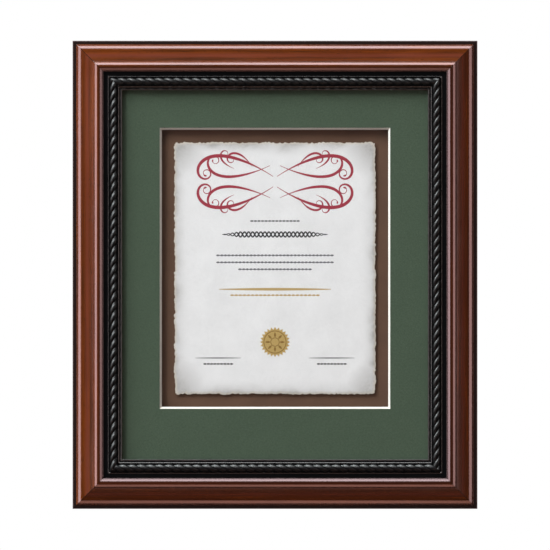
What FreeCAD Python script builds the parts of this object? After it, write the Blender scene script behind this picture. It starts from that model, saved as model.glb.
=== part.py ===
import FreeCAD, Part
import math
import os

# Certificate frame for a wall. A mitred wooden moulding holds a black slip with a twisted
# rope bead. Behind the slip lie glazing, a bevelled mat, spacers and a mount board, on which
# the certificate floats. Turn buttons close the back and two D-rings hang the frame.
# X runs across, Z runs up and Y runs from the front (minus) to the back (plus).
# The origin is in the middle of the bottom edge, halfway through the whole depth.
# All lengths are in millimetres and all angles in degrees.

Vector = FreeCAD.Vector
UP = Vector(0, 0, 1)
ACROSS = Vector(1, 0, 0)
REARWARD = Vector(0, 1, 0)
CENTRE = Vector(0, 0, 0)

# Certificate sheet with torn edges, floated on a smaller riser
sheet_width = 203.2
sheet_height = 254.0
sheet_thickness = 0.4
sheet_corner_radius = 3.0
tear_depth = 0.9
tear_step = 8.0
coarse_tear_turn = 1.3
fine_tear_turn = 2.9
coarse_tear_share = 0.6
riser_thickness = 2.0
riser_inset = 22.0

# Mat, boards, spacers and glazing
window_reveal = 14.0
mat_side_margin = 43.15
mat_top_margin = 43.0
mat_bottom_margin = 56.0
mat_thickness = 2.0
mat_bevel_angle = 45.0
glazing_thickness = 2.0
spacer_thickness = 5.0
spacer_width = 30.0
mount_board_thickness = 1.4
backing_thickness = 3.0
package_clearance = 0.5

# Slip section, from the wood inwards to the sight edge
lip_cover = 5.0
channel_width = 4.4
fillet_width = 1.4
fillet_rise = 0.85
fillet_side_height = 0.45
fillet_slope = 0.55
rope_gap = 0.4
quirk_width = 1.6
quirk_depth = 0.9
sight_bead_width = 1.3
sight_bead_drop = 0.35
sight_bead_bulge_share = 0.3
lip_thickness = 3.4
lip_overlap = 5.4

# Rope bead: a facetted half-round on short sides, cut into slanting lobes
rope_width = 7.8
rope_side_height = 0.7
rope_facets = 5
rope_lobe_spacing = 9.3
rope_slant_angle = 45.0
rope_groove_width = 5.6
rope_groove_neck_share = 0.45
rope_groove_neck_depth_share = 0.62

# Wooden moulding section, from the outer edge inwards to its own lip
edge_round = 0.8
edge_width = 2.9
edge_rise = 0.3
step_width = 0.3
bead_width = 4.9
bead_rise = 2.9
bead_bulge_share = 0.06
scoop_width = 11.9
scoop_rise = 3.0
scoop_bulge_share = -0.03
ridge_rise_width = 3.8
ridge_rise = 2.5
ridge_rise_bulge_share = 0.07
crown_width = 2.9
crown_bulge_share = 0.06
inner_slope_width = 3.1
inner_slope_drop = 2.0
inner_slope_bulge_share = 0.04
lip_round = 0.4
lip_edge_height = 2.5

# Height over width of a quarter circle bowed out from the chord between its ends
quarter_round_share = (math.sqrt(2) - 1) / 2

# V-shaped nails driven into the mitres from behind
nail_leg = 6.0
nail_thickness = 0.6
nail_depth = 9.0
nail_leg_angle = 60.0
rail_nail_shares = (0.3, 0.7)
slip_nail_shares = (0.5,)

# Turn buttons and the screws they turn on
button_reach = 20.0
button_heel_radius = 6.0
button_tip_radius = 4.0
button_thickness = 1.0
button_lift = 0.1
button_finger_length = 5.0
button_finger_rise = 1.2
button_screw_shoulder_radius = 2.0
running_clearance = 0.08
button_low_share = 0.25
button_high_share = 0.83

# Flat-topped wood screws; an eight-sided shank stands for the thread
screw_head_radius = 3.3
screw_head_height = 1.6
screw_shank_radius = 1.6
screw_shank_sides = 8
screw_length = 10.0
pilot_clearance = 0.05

# D-ring hangers on the side rails
hanger_height_share = 0.667
hanger_setback = 6.8
strap_width = 14.0
strap_length = 27.0
strap_metal = 0.8
strap_screw_near = 6.4
strap_screw_far = 20.5
ring_wire_radius = 1.2
ring_wire_facets = 8
ring_bow_steps = 12
ring_half_height = 9.5
ring_leg = 3.0
ring_corner_radius = 2.0

# Rubber wall bumpers at the two lower corners
bumper_radius = 5.0
bumper_height = 5.0

# Length by which cutting tools run past what they cut
overrun = 1.0

# Sizes worked out from the driving dimensions
window_width = sheet_width + 2 * window_reveal
window_height = sheet_height + 2 * window_reveal
package_width = window_width + 2 * mat_side_margin
package_height = window_height + mat_top_margin + mat_bottom_margin

edge_front_width = edge_round + edge_width + step_width
crown_front_width = ridge_rise_width + crown_width + inner_slope_width + lip_round
rail_front_width = edge_front_width + bead_width + scoop_width + crown_front_width
rail_body_width = rail_front_width - lip_cover
rope_seat_width = rope_width + 2 * rope_gap
slip_front_width = (
    lip_cover + channel_width + fillet_width + rope_seat_width + fillet_width + quirk_width + sight_bead_width
)
slip_body_width = slip_front_width - lip_overlap - package_clearance
rabbet_wall = rail_body_width + slip_body_width
sight_edge = rail_body_width + slip_front_width
outer_width = package_width + 2 * (package_clearance + rabbet_wall)
outer_height = package_height + 2 * (package_clearance + rabbet_wall)

# Heights above the back face of the rails
backing_front = backing_thickness
mount_front = backing_front + mount_board_thickness
riser_front = mount_front + riser_thickness
spacer_front = mount_front + spacer_thickness
mat_front = spacer_front + mat_thickness
rabbet_depth = mat_front + glazing_thickness
slip_floor = rabbet_depth + lip_thickness
crown_foot = slip_floor + lip_edge_height + lip_round + inner_slope_drop
ridge_height = crown_foot + crown_width * crown_bulge_share
side_height = crown_foot - ridge_rise - scoop_rise - bead_rise - edge_rise - edge_round
knuckle_radius = ring_wire_radius + running_clearance + strap_metal
strap_thickness = 2 * strap_metal

# Places
back_y = (ridge_height - bumper_height) / 2
half_width = outer_width / 2
middle_z = outer_height / 2
package_bottom = middle_z - package_height / 2
window_middle_z = package_bottom + mat_bottom_margin + window_height / 2
button_screw_inset = rail_body_width + slip_body_width / 2
hanger_inset = rabbet_wall - hanger_setback
hanger_z = outer_height * hanger_height_share
bumper_inset = rail_body_width / 2


def section_point(across, height):
    """A point of a moulding section: distance from the outer edge, and height above the back."""
    return Vector(0, back_y - height, across)


def bowed_edge(start, end, bulge_share):
    """An edge of a section, straight or bowed to the front by a share of its chord."""
    if not bulge_share:
        return Part.makeLine(start, end)
    chord = end.sub(start)
    frontward = ACROSS.cross(chord)
    middle = start.add(chord.multiply(0.5)).add(frontward.multiply(bulge_share))
    return Part.Arc(start, middle, end).toShape()


def section_face(outline):
    """A closed section from (across, height, bulge share) rows; a share bows the edge before its point."""
    points = [section_point(across, height) for across, height, _ in outline]
    edges = [
        bowed_edge(points[index - 1], points[index], outline[index][2])
        for index in range(1, len(points))
    ]
    edges.append(Part.makeLine(points[-1], points[0]))
    return Part.Face(Part.Wire(edges))


def mitre_block(length):
    """A block with 45 degree ends that holds one moulding length, its outer edge at Z zero."""
    reach = sight_edge + overrun
    half = length / 2
    corners = [
        (-half - overrun, -overrun),
        (half + overrun, -overrun),
        (half - reach, reach),
        (reach - half, reach),
    ]
    front = back_y - ridge_height - overrun
    points = [Vector(x, front, z) for x, z in corners + corners[:1]]
    depth = ridge_height + 2 * overrun
    return Part.Face(Part.makePolygon(points)).extrude(REARWARD * depth)


def mitred_length(face, length):
    """One moulding section run along X and cut at both ends by the mitres."""
    face.translate(ACROSS * (-length / 2))
    return face.extrude(ACROSS * length).common(mitre_block(length))


def on_side(shape, side):
    """Carry a piece made for the bottom member to its own side of the frame."""
    turns = {"bottom": 0, "left": 90, "top": 180, "right": -90}
    shifts = {
        "bottom": CENTRE,
        "left": Vector(-half_width, 0, middle_z),
        "top": Vector(0, 0, outer_height),
        "right": Vector(half_width, 0, middle_z),
    }
    placed = shape.copy()
    placed.rotate(CENTRE, REARWARD, turns[side])
    placed.translate(shifts[side])
    return placed


def member_length(side):
    """Outer length of the member on one side."""
    return outer_width if side in ("top", "bottom") else outer_height


def rail_section():
    """Wooden moulding: black edge, bead, scoop, ridge, crown, inner slope and a lip over the slip."""
    rows = [
        (edge_round, edge_round, quarter_round_share),
        (edge_width, edge_rise, 0),
        (step_width, 0, 0),
        (bead_width, bead_rise, bead_bulge_share),
        (scoop_width, scoop_rise, scoop_bulge_share),
        (ridge_rise_width, ridge_rise, ridge_rise_bulge_share),
        (crown_width, 0, crown_bulge_share),
        (inner_slope_width, -inner_slope_drop, inner_slope_bulge_share),
        (lip_round, -lip_round, quarter_round_share),
    ]
    outline = [(0, 0, 0), (0, side_height, 0)]
    across, height = 0, side_height
    for width, rise, bulge_share in rows:
        across += width
        height += rise
        outline.append((across, height, bulge_share))
    outline += [
        (across, slip_floor, 0),
        (rail_body_width, slip_floor, 0),
        (rail_body_width, 0, 0),
    ]
    return section_face(outline)


def slip_section():
    """Black slip: flat channel, two chamfered fillets beside the rope seat, a quirk and the sight bead."""
    outer_fillet = rail_front_width + channel_width
    rope_seat = outer_fillet + fillet_width
    inner_fillet = rope_seat + rope_seat_width
    quirk = inner_fillet + fillet_width
    sight_bead = quirk + quirk_width
    quirk_floor = slip_floor - quirk_depth
    fillet_top = slip_floor + fillet_rise
    fillet_side = slip_floor + fillet_side_height
    outline = [
        (rail_body_width, 0, 0),
        (rail_body_width, slip_floor, 0),
        (outer_fillet, slip_floor, 0),
        (outer_fillet, fillet_side, 0),
        (outer_fillet + fillet_slope, fillet_top, 0),
        (rope_seat - fillet_slope, fillet_top, 0),
        (rope_seat, fillet_side, 0),
        (rope_seat, slip_floor, 0),
        (inner_fillet, slip_floor, 0),
        (inner_fillet, fillet_side, 0),
        (inner_fillet + fillet_slope, fillet_top, 0),
        (quirk - fillet_slope, fillet_top, 0),
        (quirk, fillet_side, 0),
        (quirk, quirk_floor, 0),
        (sight_bead, quirk_floor, 0),
        (sight_edge, quirk_floor - sight_bead_drop, sight_bead_bulge_share),
        (sight_edge, rabbet_depth, 0),
        (rabbet_wall, rabbet_depth, 0),
        (rabbet_wall, 0, 0),
    ]
    return section_face(outline)


def rope_section():
    """Half-round rope blank on short upright sides."""
    start = rail_front_width + channel_width + fillet_width + rope_gap
    shoulder = slip_floor + rope_side_height
    radius = rope_width / 2
    outline = [(start, slip_floor, 0)]
    for facet in range(rope_facets + 1):
        turn = math.pi * facet / rope_facets
        outline.append((start + radius - radius * math.cos(turn), shoulder + radius * math.sin(turn), 0))
    outline.append((start + rope_width, slip_floor, 0))
    return section_face(outline)


def rope_groove(along):
    """One slanting groove between two rope lobes, wide and rounded above and narrow below."""
    slant = math.radians(rope_slant_angle)
    strand = Vector(math.cos(slant), 0, -math.sin(slant))
    beside = Vector(math.sin(slant), 0, math.cos(slant))
    rope_middle = rail_front_width + channel_width + fillet_width + rope_gap + rope_width / 2
    bottom = slip_floor + rope_side_height
    depth = rope_width / 2 + overrun
    neck_height = bottom + rope_width / 2 * rope_groove_neck_depth_share
    half = rope_groove_width / 2
    neck = half * rope_groove_neck_share
    flare = half + (half - neck) * overrun / (bottom + rope_width / 2 - neck_height)
    profile = [(0, bottom), (neck, neck_height), (flare, bottom + depth), (-flare, bottom + depth), (-neck, neck_height)]
    points = [
        Vector(along, back_y - height, rope_middle).add(beside * aside)
        for aside, height in profile + profile[:1]
    ]
    length = 2 * rope_width / math.sin(slant)
    groove = Part.Face(Part.makePolygon(points)).extrude(strand * length)
    groove.translate(strand * (-length / 2))
    return groove


def rope_bead(length):
    """A mitred length of rope bead with its lobes."""
    blank = mitred_length(rope_section(), length)
    clear_length = length - 2 * rail_front_width
    count = round(clear_length / rope_lobe_spacing)
    spacing = clear_length / count
    grooves = [rope_groove((index - count / 2) * spacing) for index in range(count + 1)]
    return blank.cut(grooves)


def corner_nail(inset, x_sign, z_sign):
    """A V nail whose point lies on one mitre, at the given distance in from both outer edges."""
    diagonal = math.pi / 4
    spread = math.radians(nail_leg_angle)
    inward = Vector(math.cos(diagonal), 0, math.sin(diagonal)) * (nail_thickness / math.sin(spread))
    legs = [
        Vector(math.cos(diagonal + turn), 0, math.sin(diagonal + turn)) * nail_leg
        for turn in (spread, -spread)
    ]
    points = [CENTRE, legs[0], legs[0].add(inward), inward, legs[1].add(inward), legs[1]]
    corner_x = x_sign * (half_width - inset)
    corner_z = middle_z + z_sign * (middle_z - inset)
    placed = [Vector(corner_x - x_sign * point.x, back_y, corner_z - z_sign * point.z) for point in points]
    return Part.Face(Part.makePolygon(placed + placed[:1])).extrude(REARWARD * -nail_depth)


def corner_nails():
    """All the V nails of the wooden rails and of the slips."""
    insets = [rail_body_width * share for share in rail_nail_shares]
    insets += [rail_body_width + slip_body_width * share for share in slip_nail_shares]
    return [
        corner_nail(inset, x_sign, z_sign)
        for inset in insets
        for x_sign in (-1, 1)
        for z_sign in (-1, 1)
    ]


def board(width, height, back, front, middle=middle_z):
    """A flat board between two heights above the rail backs, centred across the frame."""
    corner = Vector(-width / 2, back_y - front, middle - height / 2)
    return Part.makeBox(width, front - back, height, corner)


def window_wire(height_above_back, inset):
    """The mat window's outline at one depth, drawn in from its front size."""
    half_x = window_width / 2 - inset
    half_z = window_height / 2 - inset
    y = back_y - height_above_back
    corners = [(-half_x, -half_z), (half_x, -half_z), (half_x, half_z), (-half_x, half_z)]
    points = [Vector(x, y, window_middle_z + z) for x, z in corners + corners[:1]]
    return Part.Wire(Part.makePolygon(points))


def mat_board():
    """The mat, its window cut with a bevel that opens to the front."""
    bevel = mat_thickness * math.tan(math.radians(mat_bevel_angle))
    window = Part.makeLoft([window_wire(mat_front, 0), window_wire(spacer_front, bevel)], True, True)
    return board(package_width, package_height, spacer_front, mat_front).cut(window)


def spacers():
    """Four strips that hold the mat off the mount board, out of sight behind it."""
    across = board(package_width, spacer_width, mount_front, spacer_front, CENTRE.z)
    upright = board(spacer_width, package_height - 2 * spacer_width, mount_front, spacer_front)
    shift_z = package_height / 2 - spacer_width / 2
    shift_x = package_width / 2 - spacer_width / 2
    return {
        "bottom_spacer": across.translated(UP * (middle_z - shift_z)),
        "top_spacer": across.translated(UP * (middle_z + shift_z)),
        "left_spacer": upright.translated(ACROSS * -shift_x),
        "right_spacer": upright.translated(ACROSS * shift_x),
    }


def torn_edge(start, end, inward, phase):
    """Points of one torn edge, set back from the straight line by a coarse and a fine wave."""
    run = end.sub(start)
    count = round(run.Length / tear_step)
    points = [start]
    for index in range(1, count):
        coarse = math.sin(coarse_tear_turn * (index + phase)) ** 2
        fine = math.sin(fine_tear_turn * (index + phase)) ** 2
        wave = coarse_tear_share * coarse + (1 - coarse_tear_share) * fine
        points.append(start.add(run * (index / count)).add(inward * (tear_depth * wave)))
    points.append(end)
    return points


def certificate_sheet():
    """The certificate: a thin sheet with torn edges and rounded corners."""
    half_x = sheet_width / 2
    half_z = sheet_height / 2
    corners = [(-1, -1), (1, -1), (1, 1), (-1, 1)]
    edges = []
    for index, (x_sign, z_sign) in enumerate(corners):
        next_x, next_z = corners[(index + 1) % len(corners)]
        along = Vector((next_x - x_sign) / 2, 0, (next_z - z_sign) / 2)
        inward = Vector(-along.z, 0, along.x)
        corner = Vector(x_sign * half_x, 0, z_sign * half_z)
        next_corner = Vector(next_x * half_x, 0, next_z * half_z)
        start = corner.add(along * sheet_corner_radius)
        end = next_corner.add(along * -sheet_corner_radius)
        points = torn_edge(start, end, inward, index)
        edges += [Part.makeLine(points[step], points[step + 1]) for step in range(len(points) - 1)]
        bow = sheet_corner_radius * (1 - math.sqrt(0.5))
        middle = next_corner.add(along * -bow).add(inward * bow)
        after = next_corner.add(inward * sheet_corner_radius)
        edges.append(Part.Arc(end, middle, after).toShape())
    sheet = Part.Face(Part.Wire(edges)).extrude(REARWARD * -sheet_thickness)
    return sheet.translated(Vector(0, back_y - riser_front, window_middle_z))


def certificate_riser():
    """The foam pad behind the certificate, set in from its edges so that they float."""
    width = sheet_width - 2 * riser_inset
    height = sheet_height - 2 * riser_inset
    return board(width, height, mount_front, riser_front, window_middle_z)


def shank_prism(radius, foot, top):
    """A many-sided prism on the Y axis between two places, for a screw's thread and its hole."""
    turns = [2 * math.pi * side / screw_shank_sides for side in range(screw_shank_sides)]
    rim = [Vector(radius * math.cos(turn), foot, radius * math.sin(turn)) for turn in turns]
    return Part.Face(Part.makePolygon(rim + rim[:1])).extrude(REARWARD * (top - foot))


def screw(x, z, seat, shoulder_radius):
    """A screw driven into the back, its head seated at a height behind the rails."""
    head = Part.makeCylinder(screw_head_radius, screw_head_height, REARWARD * seat, REARWARD)
    shank = shank_prism(screw_shank_radius, -screw_length, seat)
    if shoulder_radius:
        shank = shank.fuse(Part.makeCylinder(shoulder_radius, seat, CENTRE, REARWARD))
    return head.fuse(shank).removeSplitter().translated(Vector(x, back_y, z))


def pilot_hole(x, z):
    """The hole that a screw is driven into."""
    hole = shank_prism(screw_shank_radius + pilot_clearance, -screw_length - pilot_clearance, 0)
    return hole.translated(Vector(x, back_y, z))


def turn_button():
    """A turn button at its own screw: a tapering leaf with clipped corners, its tip lifted for a finger."""
    hole_radius = button_screw_shoulder_radius + running_clearance
    blank_height = button_thickness + button_finger_rise
    clip = 1 - math.sqrt(0.5)
    tip_z = button_reach + button_tip_radius
    outline = [
        (button_heel_radius * clip, -button_heel_radius),
        (button_heel_radius, -button_heel_radius * clip),
        (button_heel_radius, button_heel_radius * clip),
        (button_tip_radius, tip_z - button_tip_radius * clip),
        (button_tip_radius * clip, tip_z),
    ]
    points = [Vector(x, 0, z) for x, z in outline]
    points += [Vector(-x, 0, z) for x, z in reversed(outline)]
    plan = Part.Face(Part.makePolygon(points + points[:1])).extrude(REARWARD * blank_height)
    bend_z = tip_z - button_finger_length
    heel_z = -button_heel_radius - overrun
    profile = [
        (heel_z, 0),
        (bend_z, 0),
        (tip_z, button_finger_rise),
        (tip_z, blank_height),
        (bend_z, button_thickness),
        (heel_z, button_thickness),
    ]
    width = button_heel_radius + overrun
    points = [Vector(-width, y, z) for z, y in profile + profile[:1]]
    plate = Part.Face(Part.makePolygon(points)).extrude(ACROSS * (2 * width))
    hole = Part.makeCylinder(hole_radius, button_thickness + overrun, REARWARD * -(overrun / 2), REARWARD)
    return plan.common(plate).cut(hole)


def hanger_strap():
    """A folded strap whose knuckle wraps the D-ring's bar; the bar is at the origin, the strap to minus X."""
    knuckle = Part.makeCylinder(knuckle_radius, strap_width, Vector(0, knuckle_radius, -strap_width / 2), UP)
    round_end = strap_width / 2
    flat = Part.makeBox(
        strap_length - round_end,
        strap_thickness,
        strap_width,
        Vector(-strap_length + round_end, 0, -strap_width / 2),
    )
    end = Part.makeCylinder(round_end, strap_thickness, ACROSS * (round_end - strap_length), REARWARD)
    body = knuckle.fuse([flat, end]).removeSplitter()
    bore_radius = ring_wire_radius + running_clearance
    bore_length = strap_width + 2 * overrun
    bore = Part.makeCylinder(bore_radius, bore_length, Vector(0, knuckle_radius, -bore_length / 2), UP)
    hole = shank_prism(screw_shank_radius + pilot_clearance, -overrun, strap_thickness + overrun)
    holes = [hole.translated(ACROSS * -place) for place in (strap_screw_near, strap_screw_far)]
    return body.cut([bore] + holes)


def ring_path():
    """The D-ring's centre line in its own plane, as x and z points from the bar round the bow."""
    top = ring_half_height
    bow = [math.pi / 2 - math.pi * step / ring_bow_steps for step in range(ring_bow_steps + 1)]
    path = [(0, top - ring_corner_radius), (ring_corner_radius, top)]
    path += [(ring_leg + top * math.cos(turn), top * math.sin(turn)) for turn in bow]
    path += [(ring_corner_radius, -top), (0, ring_corner_radius - top)]
    return [Vector(x, knuckle_radius, z) for x, z in path]


def d_ring():
    """A bent-wire D-ring: its bar on the Z axis at the knuckle's height, its bow towards plus X."""
    path = ring_path()
    sections = []
    for index, place in enumerate(path):
        before = place.sub(path[index - 1]).normalize()
        after = path[(index + 1) % len(path)].sub(place).normalize()
        mitre = before.add(after).normalize()
        outward = mitre.cross(REARWARD) * (ring_wire_radius / mitre.dot(after))
        rearward = REARWARD * ring_wire_radius
        turns = [2 * math.pi * facet / ring_wire_facets for facet in range(ring_wire_facets)]
        rim = [place.add(outward * math.cos(turn)).add(rearward * math.sin(turn)) for turn in turns]
        sections.append(Part.makePolygon(rim + rim[:1]))
    bent = Part.makeLoft(sections, True, True, True)
    bar_length = 2 * (ring_half_height - ring_corner_radius)
    bar = Part.makeCylinder(ring_wire_radius, bar_length, Vector(0, knuckle_radius, -bar_length / 2), UP)
    return bent.fuse(bar)


def wall_bumper(x_sign):
    """A rubber bumper behind one lower corner."""
    place = Vector(x_sign * (half_width - bumper_inset), back_y, bumper_inset)
    return Part.makeCylinder(bumper_radius, bumper_height, place, REARWARD)


def hanger_side(shape, x_sign):
    """Carry a hanger piece made about its bar to the left (minus) or right (plus) side rail."""
    placed = shape.copy()
    if x_sign > 0:
        placed.rotate(CENTRE, REARWARD, 180)
    placed.translate(Vector(x_sign * (half_width - hanger_inset), back_y, hanger_z))
    return placed


def button_places():
    """Each turn button's name, screw place and turn that points it at the backing board."""
    low_z = outer_height * button_low_share
    high_z = outer_height * button_high_share
    side_x = half_width - button_screw_inset
    return {
        "bottom_turn_button": (0, button_screw_inset, 0),
        "top_turn_button": (0, outer_height - button_screw_inset, 180),
        "left_lower_turn_button": (-side_x, low_z, 90),
        "left_upper_turn_button": (-side_x, high_z, 90),
        "right_lower_turn_button": (side_x, low_z, -90),
        "right_upper_turn_button": (side_x, high_z, -90),
    }


def placed_button(x, z, turn):
    """A turn button carried to its screw, clear of the wood by its lift."""
    button = turn_button()
    button.rotate(CENTRE, REARWARD, turn)
    button.translate(Vector(x, back_y + button_lift, z))
    return button


def hanger_screw_places():
    """The four places of the hanger screws, as x and z."""
    return [
        (x_sign * (half_width - hanger_inset + place), hanger_z)
        for x_sign in (-1, 1)
        for place in (strap_screw_near, strap_screw_far)
    ]


def drilled(shape, tools):
    """A rail or slip with the nail slots and screw holes that reach it cut out."""
    near = [tool for tool in tools if shape.BoundBox.intersect(tool.BoundBox)]
    return shape.cut(near) if near else shape


def frame_pieces():
    """Every piece of the frame by name."""
    buttons = button_places()
    nails = corner_nails()
    screw_places = [(x, z) for x, z, _ in buttons.values()] + hanger_screw_places()
    tools = nails + [pilot_hole(x, z) for x, z in screw_places]
    pieces = {}
    for side in ("top", "bottom", "left", "right"):
        length = member_length(side)
        pieces[f"{side}_rail"] = drilled(on_side(mitred_length(rail_section(), length), side), tools)
        pieces[f"{side}_slip"] = drilled(on_side(mitred_length(slip_section(), length), side), tools)
        pieces[f"{side}_rope_bead"] = on_side(rope_bead(length), side)
    pieces["corner_v_nails"] = Part.makeCompound(nails)

    pieces["glazing"] = board(package_width, package_height, mat_front, rabbet_depth)
    pieces["mat_board"] = mat_board()
    pieces.update(spacers())
    pieces["mount_board"] = board(package_width, package_height, backing_front, mount_front)
    pieces["certificate_riser"] = certificate_riser()
    pieces["certificate_sheet"] = certificate_sheet()
    pieces["backing_board"] = board(package_width, package_height, 0, backing_front)

    for name, (x, z, turn) in buttons.items():
        pieces[name] = placed_button(x, z, turn)
    button_seat = button_lift + button_thickness + button_lift
    pieces["turn_button_screws"] = Part.makeCompound(
        [screw(x, z, button_seat, button_screw_shoulder_radius) for x, z, _ in buttons.values()]
    )
    pieces["hanger_screws"] = Part.makeCompound(
        [screw(x, z, strap_thickness, 0) for x, z in hanger_screw_places()]
    )
    pieces["hanger_straps"] = Part.makeCompound([hanger_side(hanger_strap(), x_sign) for x_sign in (-1, 1)])
    pieces["left_d_ring"] = hanger_side(d_ring(), -1)
    pieces["right_d_ring"] = hanger_side(d_ring(), 1)
    pieces["wall_bumpers"] = Part.makeCompound([wall_bumper(x_sign) for x_sign in (-1, 1)])
    return pieces


os.makedirs("parts", exist_ok=True)
for name, shape in frame_pieces().items():
    shape.exportStep(os.path.join("parts", f"{name}.step"))
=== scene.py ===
"""Looks of a certificate frame for a wall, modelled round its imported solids.

A mitred mahogany moulding with a black painted edge holds a black slip with a rope bead. Behind
them lie glazing, a bevelled green mat and a brown board, on which the certificate floats.
X runs across, Z runs up and Y runs from the front (minus) to the wall (plus). Lengths are metres.
"""

import logging
import math
from contextlib import contextmanager
from dataclasses import dataclass
from enum import Enum
from typing import Any, Callable, Iterator, Sequence

import bmesh
import bpy
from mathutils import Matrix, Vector, noise


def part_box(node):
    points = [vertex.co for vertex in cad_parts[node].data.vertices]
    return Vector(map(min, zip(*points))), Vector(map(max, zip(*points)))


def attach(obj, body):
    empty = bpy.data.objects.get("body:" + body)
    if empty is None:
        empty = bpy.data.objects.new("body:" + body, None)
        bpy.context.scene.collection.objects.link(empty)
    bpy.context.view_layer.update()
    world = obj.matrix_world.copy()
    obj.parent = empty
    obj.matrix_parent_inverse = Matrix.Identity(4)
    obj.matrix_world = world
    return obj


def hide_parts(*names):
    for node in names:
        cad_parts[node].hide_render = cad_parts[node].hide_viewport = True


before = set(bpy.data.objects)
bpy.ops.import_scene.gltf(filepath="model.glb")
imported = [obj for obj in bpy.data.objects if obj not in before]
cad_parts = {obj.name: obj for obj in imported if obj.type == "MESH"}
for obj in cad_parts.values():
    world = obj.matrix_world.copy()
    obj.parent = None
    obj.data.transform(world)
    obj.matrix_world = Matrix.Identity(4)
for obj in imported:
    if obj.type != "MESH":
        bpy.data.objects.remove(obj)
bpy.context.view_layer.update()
# Two points nearer than this count as one.
HAIR = 0.00001
# A face looks along an axis when its normal has this share of it.
SQUARE_ON = 0.9
# Edges of a member sharper than this many degrees are rounded.
MEMBER_ANGLE = 24.0
# How much a member's wide faces outweigh its narrow ones in the shading.
FLAT_WEIGHT = 80

log = logging.getLogger("certificate_frame")

Colour = tuple[float, float, float, float]
Material = bpy.types.Material
Node = bpy.types.Node
Socket = bpy.types.NodeSocket
Tree = bpy.types.NodeTree
Piece = bpy.types.Object


def paint(red: int, green: int, blue: int) -> Colour:
    """A display colour of 0 to 255 as the linear colour that shaders take.

    Args:
        red: Red as displayed.
        green: Green as displayed.
        blue: Blue as displayed.

    Returns:
        The linear colour, opaque.
    """
    linear = []
    for value in (red, green, blue):
        share = value / 255
        linear.append(share / 12.92 if share <= 0.04045 else ((share + 0.055) / 1.055) ** 2.4)
    return (linear[0], linear[1], linear[2], 1.0)


def grey(value: int) -> Colour:
    """A neutral display colour."""
    return paint(value, value, value)


class Side(Enum):
    """The four sides of the frame, each with its quarter turn from the bottom."""

    BOTTOM = 0
    LEFT = 90
    TOP = 180
    RIGHT = -90

    @property
    def label(self) -> str:
        """The side's name in pieces and nodes."""
        return self.name.lower()

    @property
    def is_upright(self) -> bool:
        """Whether the side runs along Z."""
        return self in (Side.LEFT, Side.RIGHT)


@dataclass(frozen=True)
class Layout:
    """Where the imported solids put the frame."""

    half_width: float
    height: float
    back: float
    sheet_half_width: float
    sheet_half_height: float
    window_half_width: float
    window_half_height: float
    window_middle: float

    @classmethod
    def from_frame(cls, window_reveal: float = 0.014) -> "Layout":
        """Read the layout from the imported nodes.

        Args:
            window_reveal: Brown board showing between the sheet and the mat window.

        Returns:
            The layout.
        """
        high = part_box("bottom_rail")[1]
        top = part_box("top_rail")[1]
        sheet_low, sheet_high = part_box("certificate_sheet")
        sheet_half_height = (sheet_high.z - sheet_low.z) / 2
        return cls(
            half_width=high.x,
            height=top.z,
            back=high.y,
            sheet_half_width=sheet_high.x,
            sheet_half_height=sheet_half_height,
            window_half_width=sheet_high.x + window_reveal,
            window_half_height=sheet_half_height + window_reveal,
            window_middle=(sheet_high.z + sheet_low.z) / 2,
        )

    @property
    def middle(self) -> float:
        """Height of the frame's centre."""
        return self.height / 2

    def member_length(self, side: Side) -> float:
        """Outer length of the member on one side."""
        return self.height if side.is_upright else 2 * self.half_width

    def carry(self, piece: Piece, side: Side) -> None:
        """Carry a piece modelled for the bottom member to its own side.

        Args:
            piece: The piece, its outer edge at Z zero and its middle at X zero.
            side: The side it goes to.
        """
        places = {
            Side.BOTTOM: (0, 0, 0),
            Side.LEFT: (-self.half_width, 0, self.middle),
            Side.TOP: (0, 0, self.height),
            Side.RIGHT: (self.half_width, 0, self.middle),
        }
        settle(piece, places[side], math.radians(side.value))


# Modelling by operators


def only(piece: Piece) -> None:
    """Make one piece the only selected and active one.

    Args:
        piece: The piece.
    """
    bpy.ops.object.select_all(action="DESELECT")
    piece.select_set(True)
    bpy.context.view_layer.objects.active = piece


def applied(piece: Piece) -> None:
    """Put a piece's place, turn and scale into its mesh."""
    only(piece)
    bpy.ops.object.transform_apply(location=True, rotation=True, scale=True)


def named(piece: Piece, name: str) -> Piece:
    """Give a piece and its mesh one name."""
    piece.name = piece.data.name = name
    return piece


@contextmanager
def editing(piece: Piece, parts: str = "FACE") -> Iterator[bmesh.types.BMesh]:
    """Edit mode on one piece with nothing selected.

    Args:
        piece: The piece to edit.
        parts: What is selected: VERT, EDGE or FACE.

    Yields:
        The mesh being edited, for selecting its parts.
    """
    only(piece)
    bpy.ops.object.mode_set(mode="EDIT")
    bpy.ops.mesh.select_mode(type=parts)
    bpy.ops.mesh.select_all(action="DESELECT")
    try:
        yield bmesh.from_edit_mesh(piece.data)
    finally:
        bpy.ops.object.mode_set(mode="OBJECT")


def select_whole() -> None:
    """Select all of the mesh being edited."""
    bpy.ops.mesh.select_all(action="SELECT")


def turn_outwards() -> None:
    """Turn all faces of the mesh being edited outwards."""
    select_whole()
    bpy.ops.mesh.normals_make_consistent(inside=False)


def pull(along: Sequence[float]) -> None:
    """Extrude what is selected of the mesh being edited."""
    bpy.ops.mesh.extrude_region_move(TRANSFORM_OT_translate={"value": along})


def started(name: str, primitive: Callable[..., Any], **settings: Any) -> Piece:
    """Add a primitive as the start of a piece.

    Args:
        name: The piece's name.
        primitive: The operator that adds it.
        **settings: The operator's settings.

    Returns:
        The new piece.
    """
    bpy.ops.object.select_all(action="DESELECT")
    primitive(**settings)
    return named(bpy.context.object, name)


def settle(piece: Piece, place: Sequence[float], turn: float = 0.0) -> None:
    """Turn a piece about Y, shift it, and put both into its mesh.

    Args:
        piece: The piece.
        place: The shift.
        turn: The turn in radians.
    """
    piece.rotation_euler = (0, turn, 0)
    piece.location = place
    applied(piece)


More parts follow.
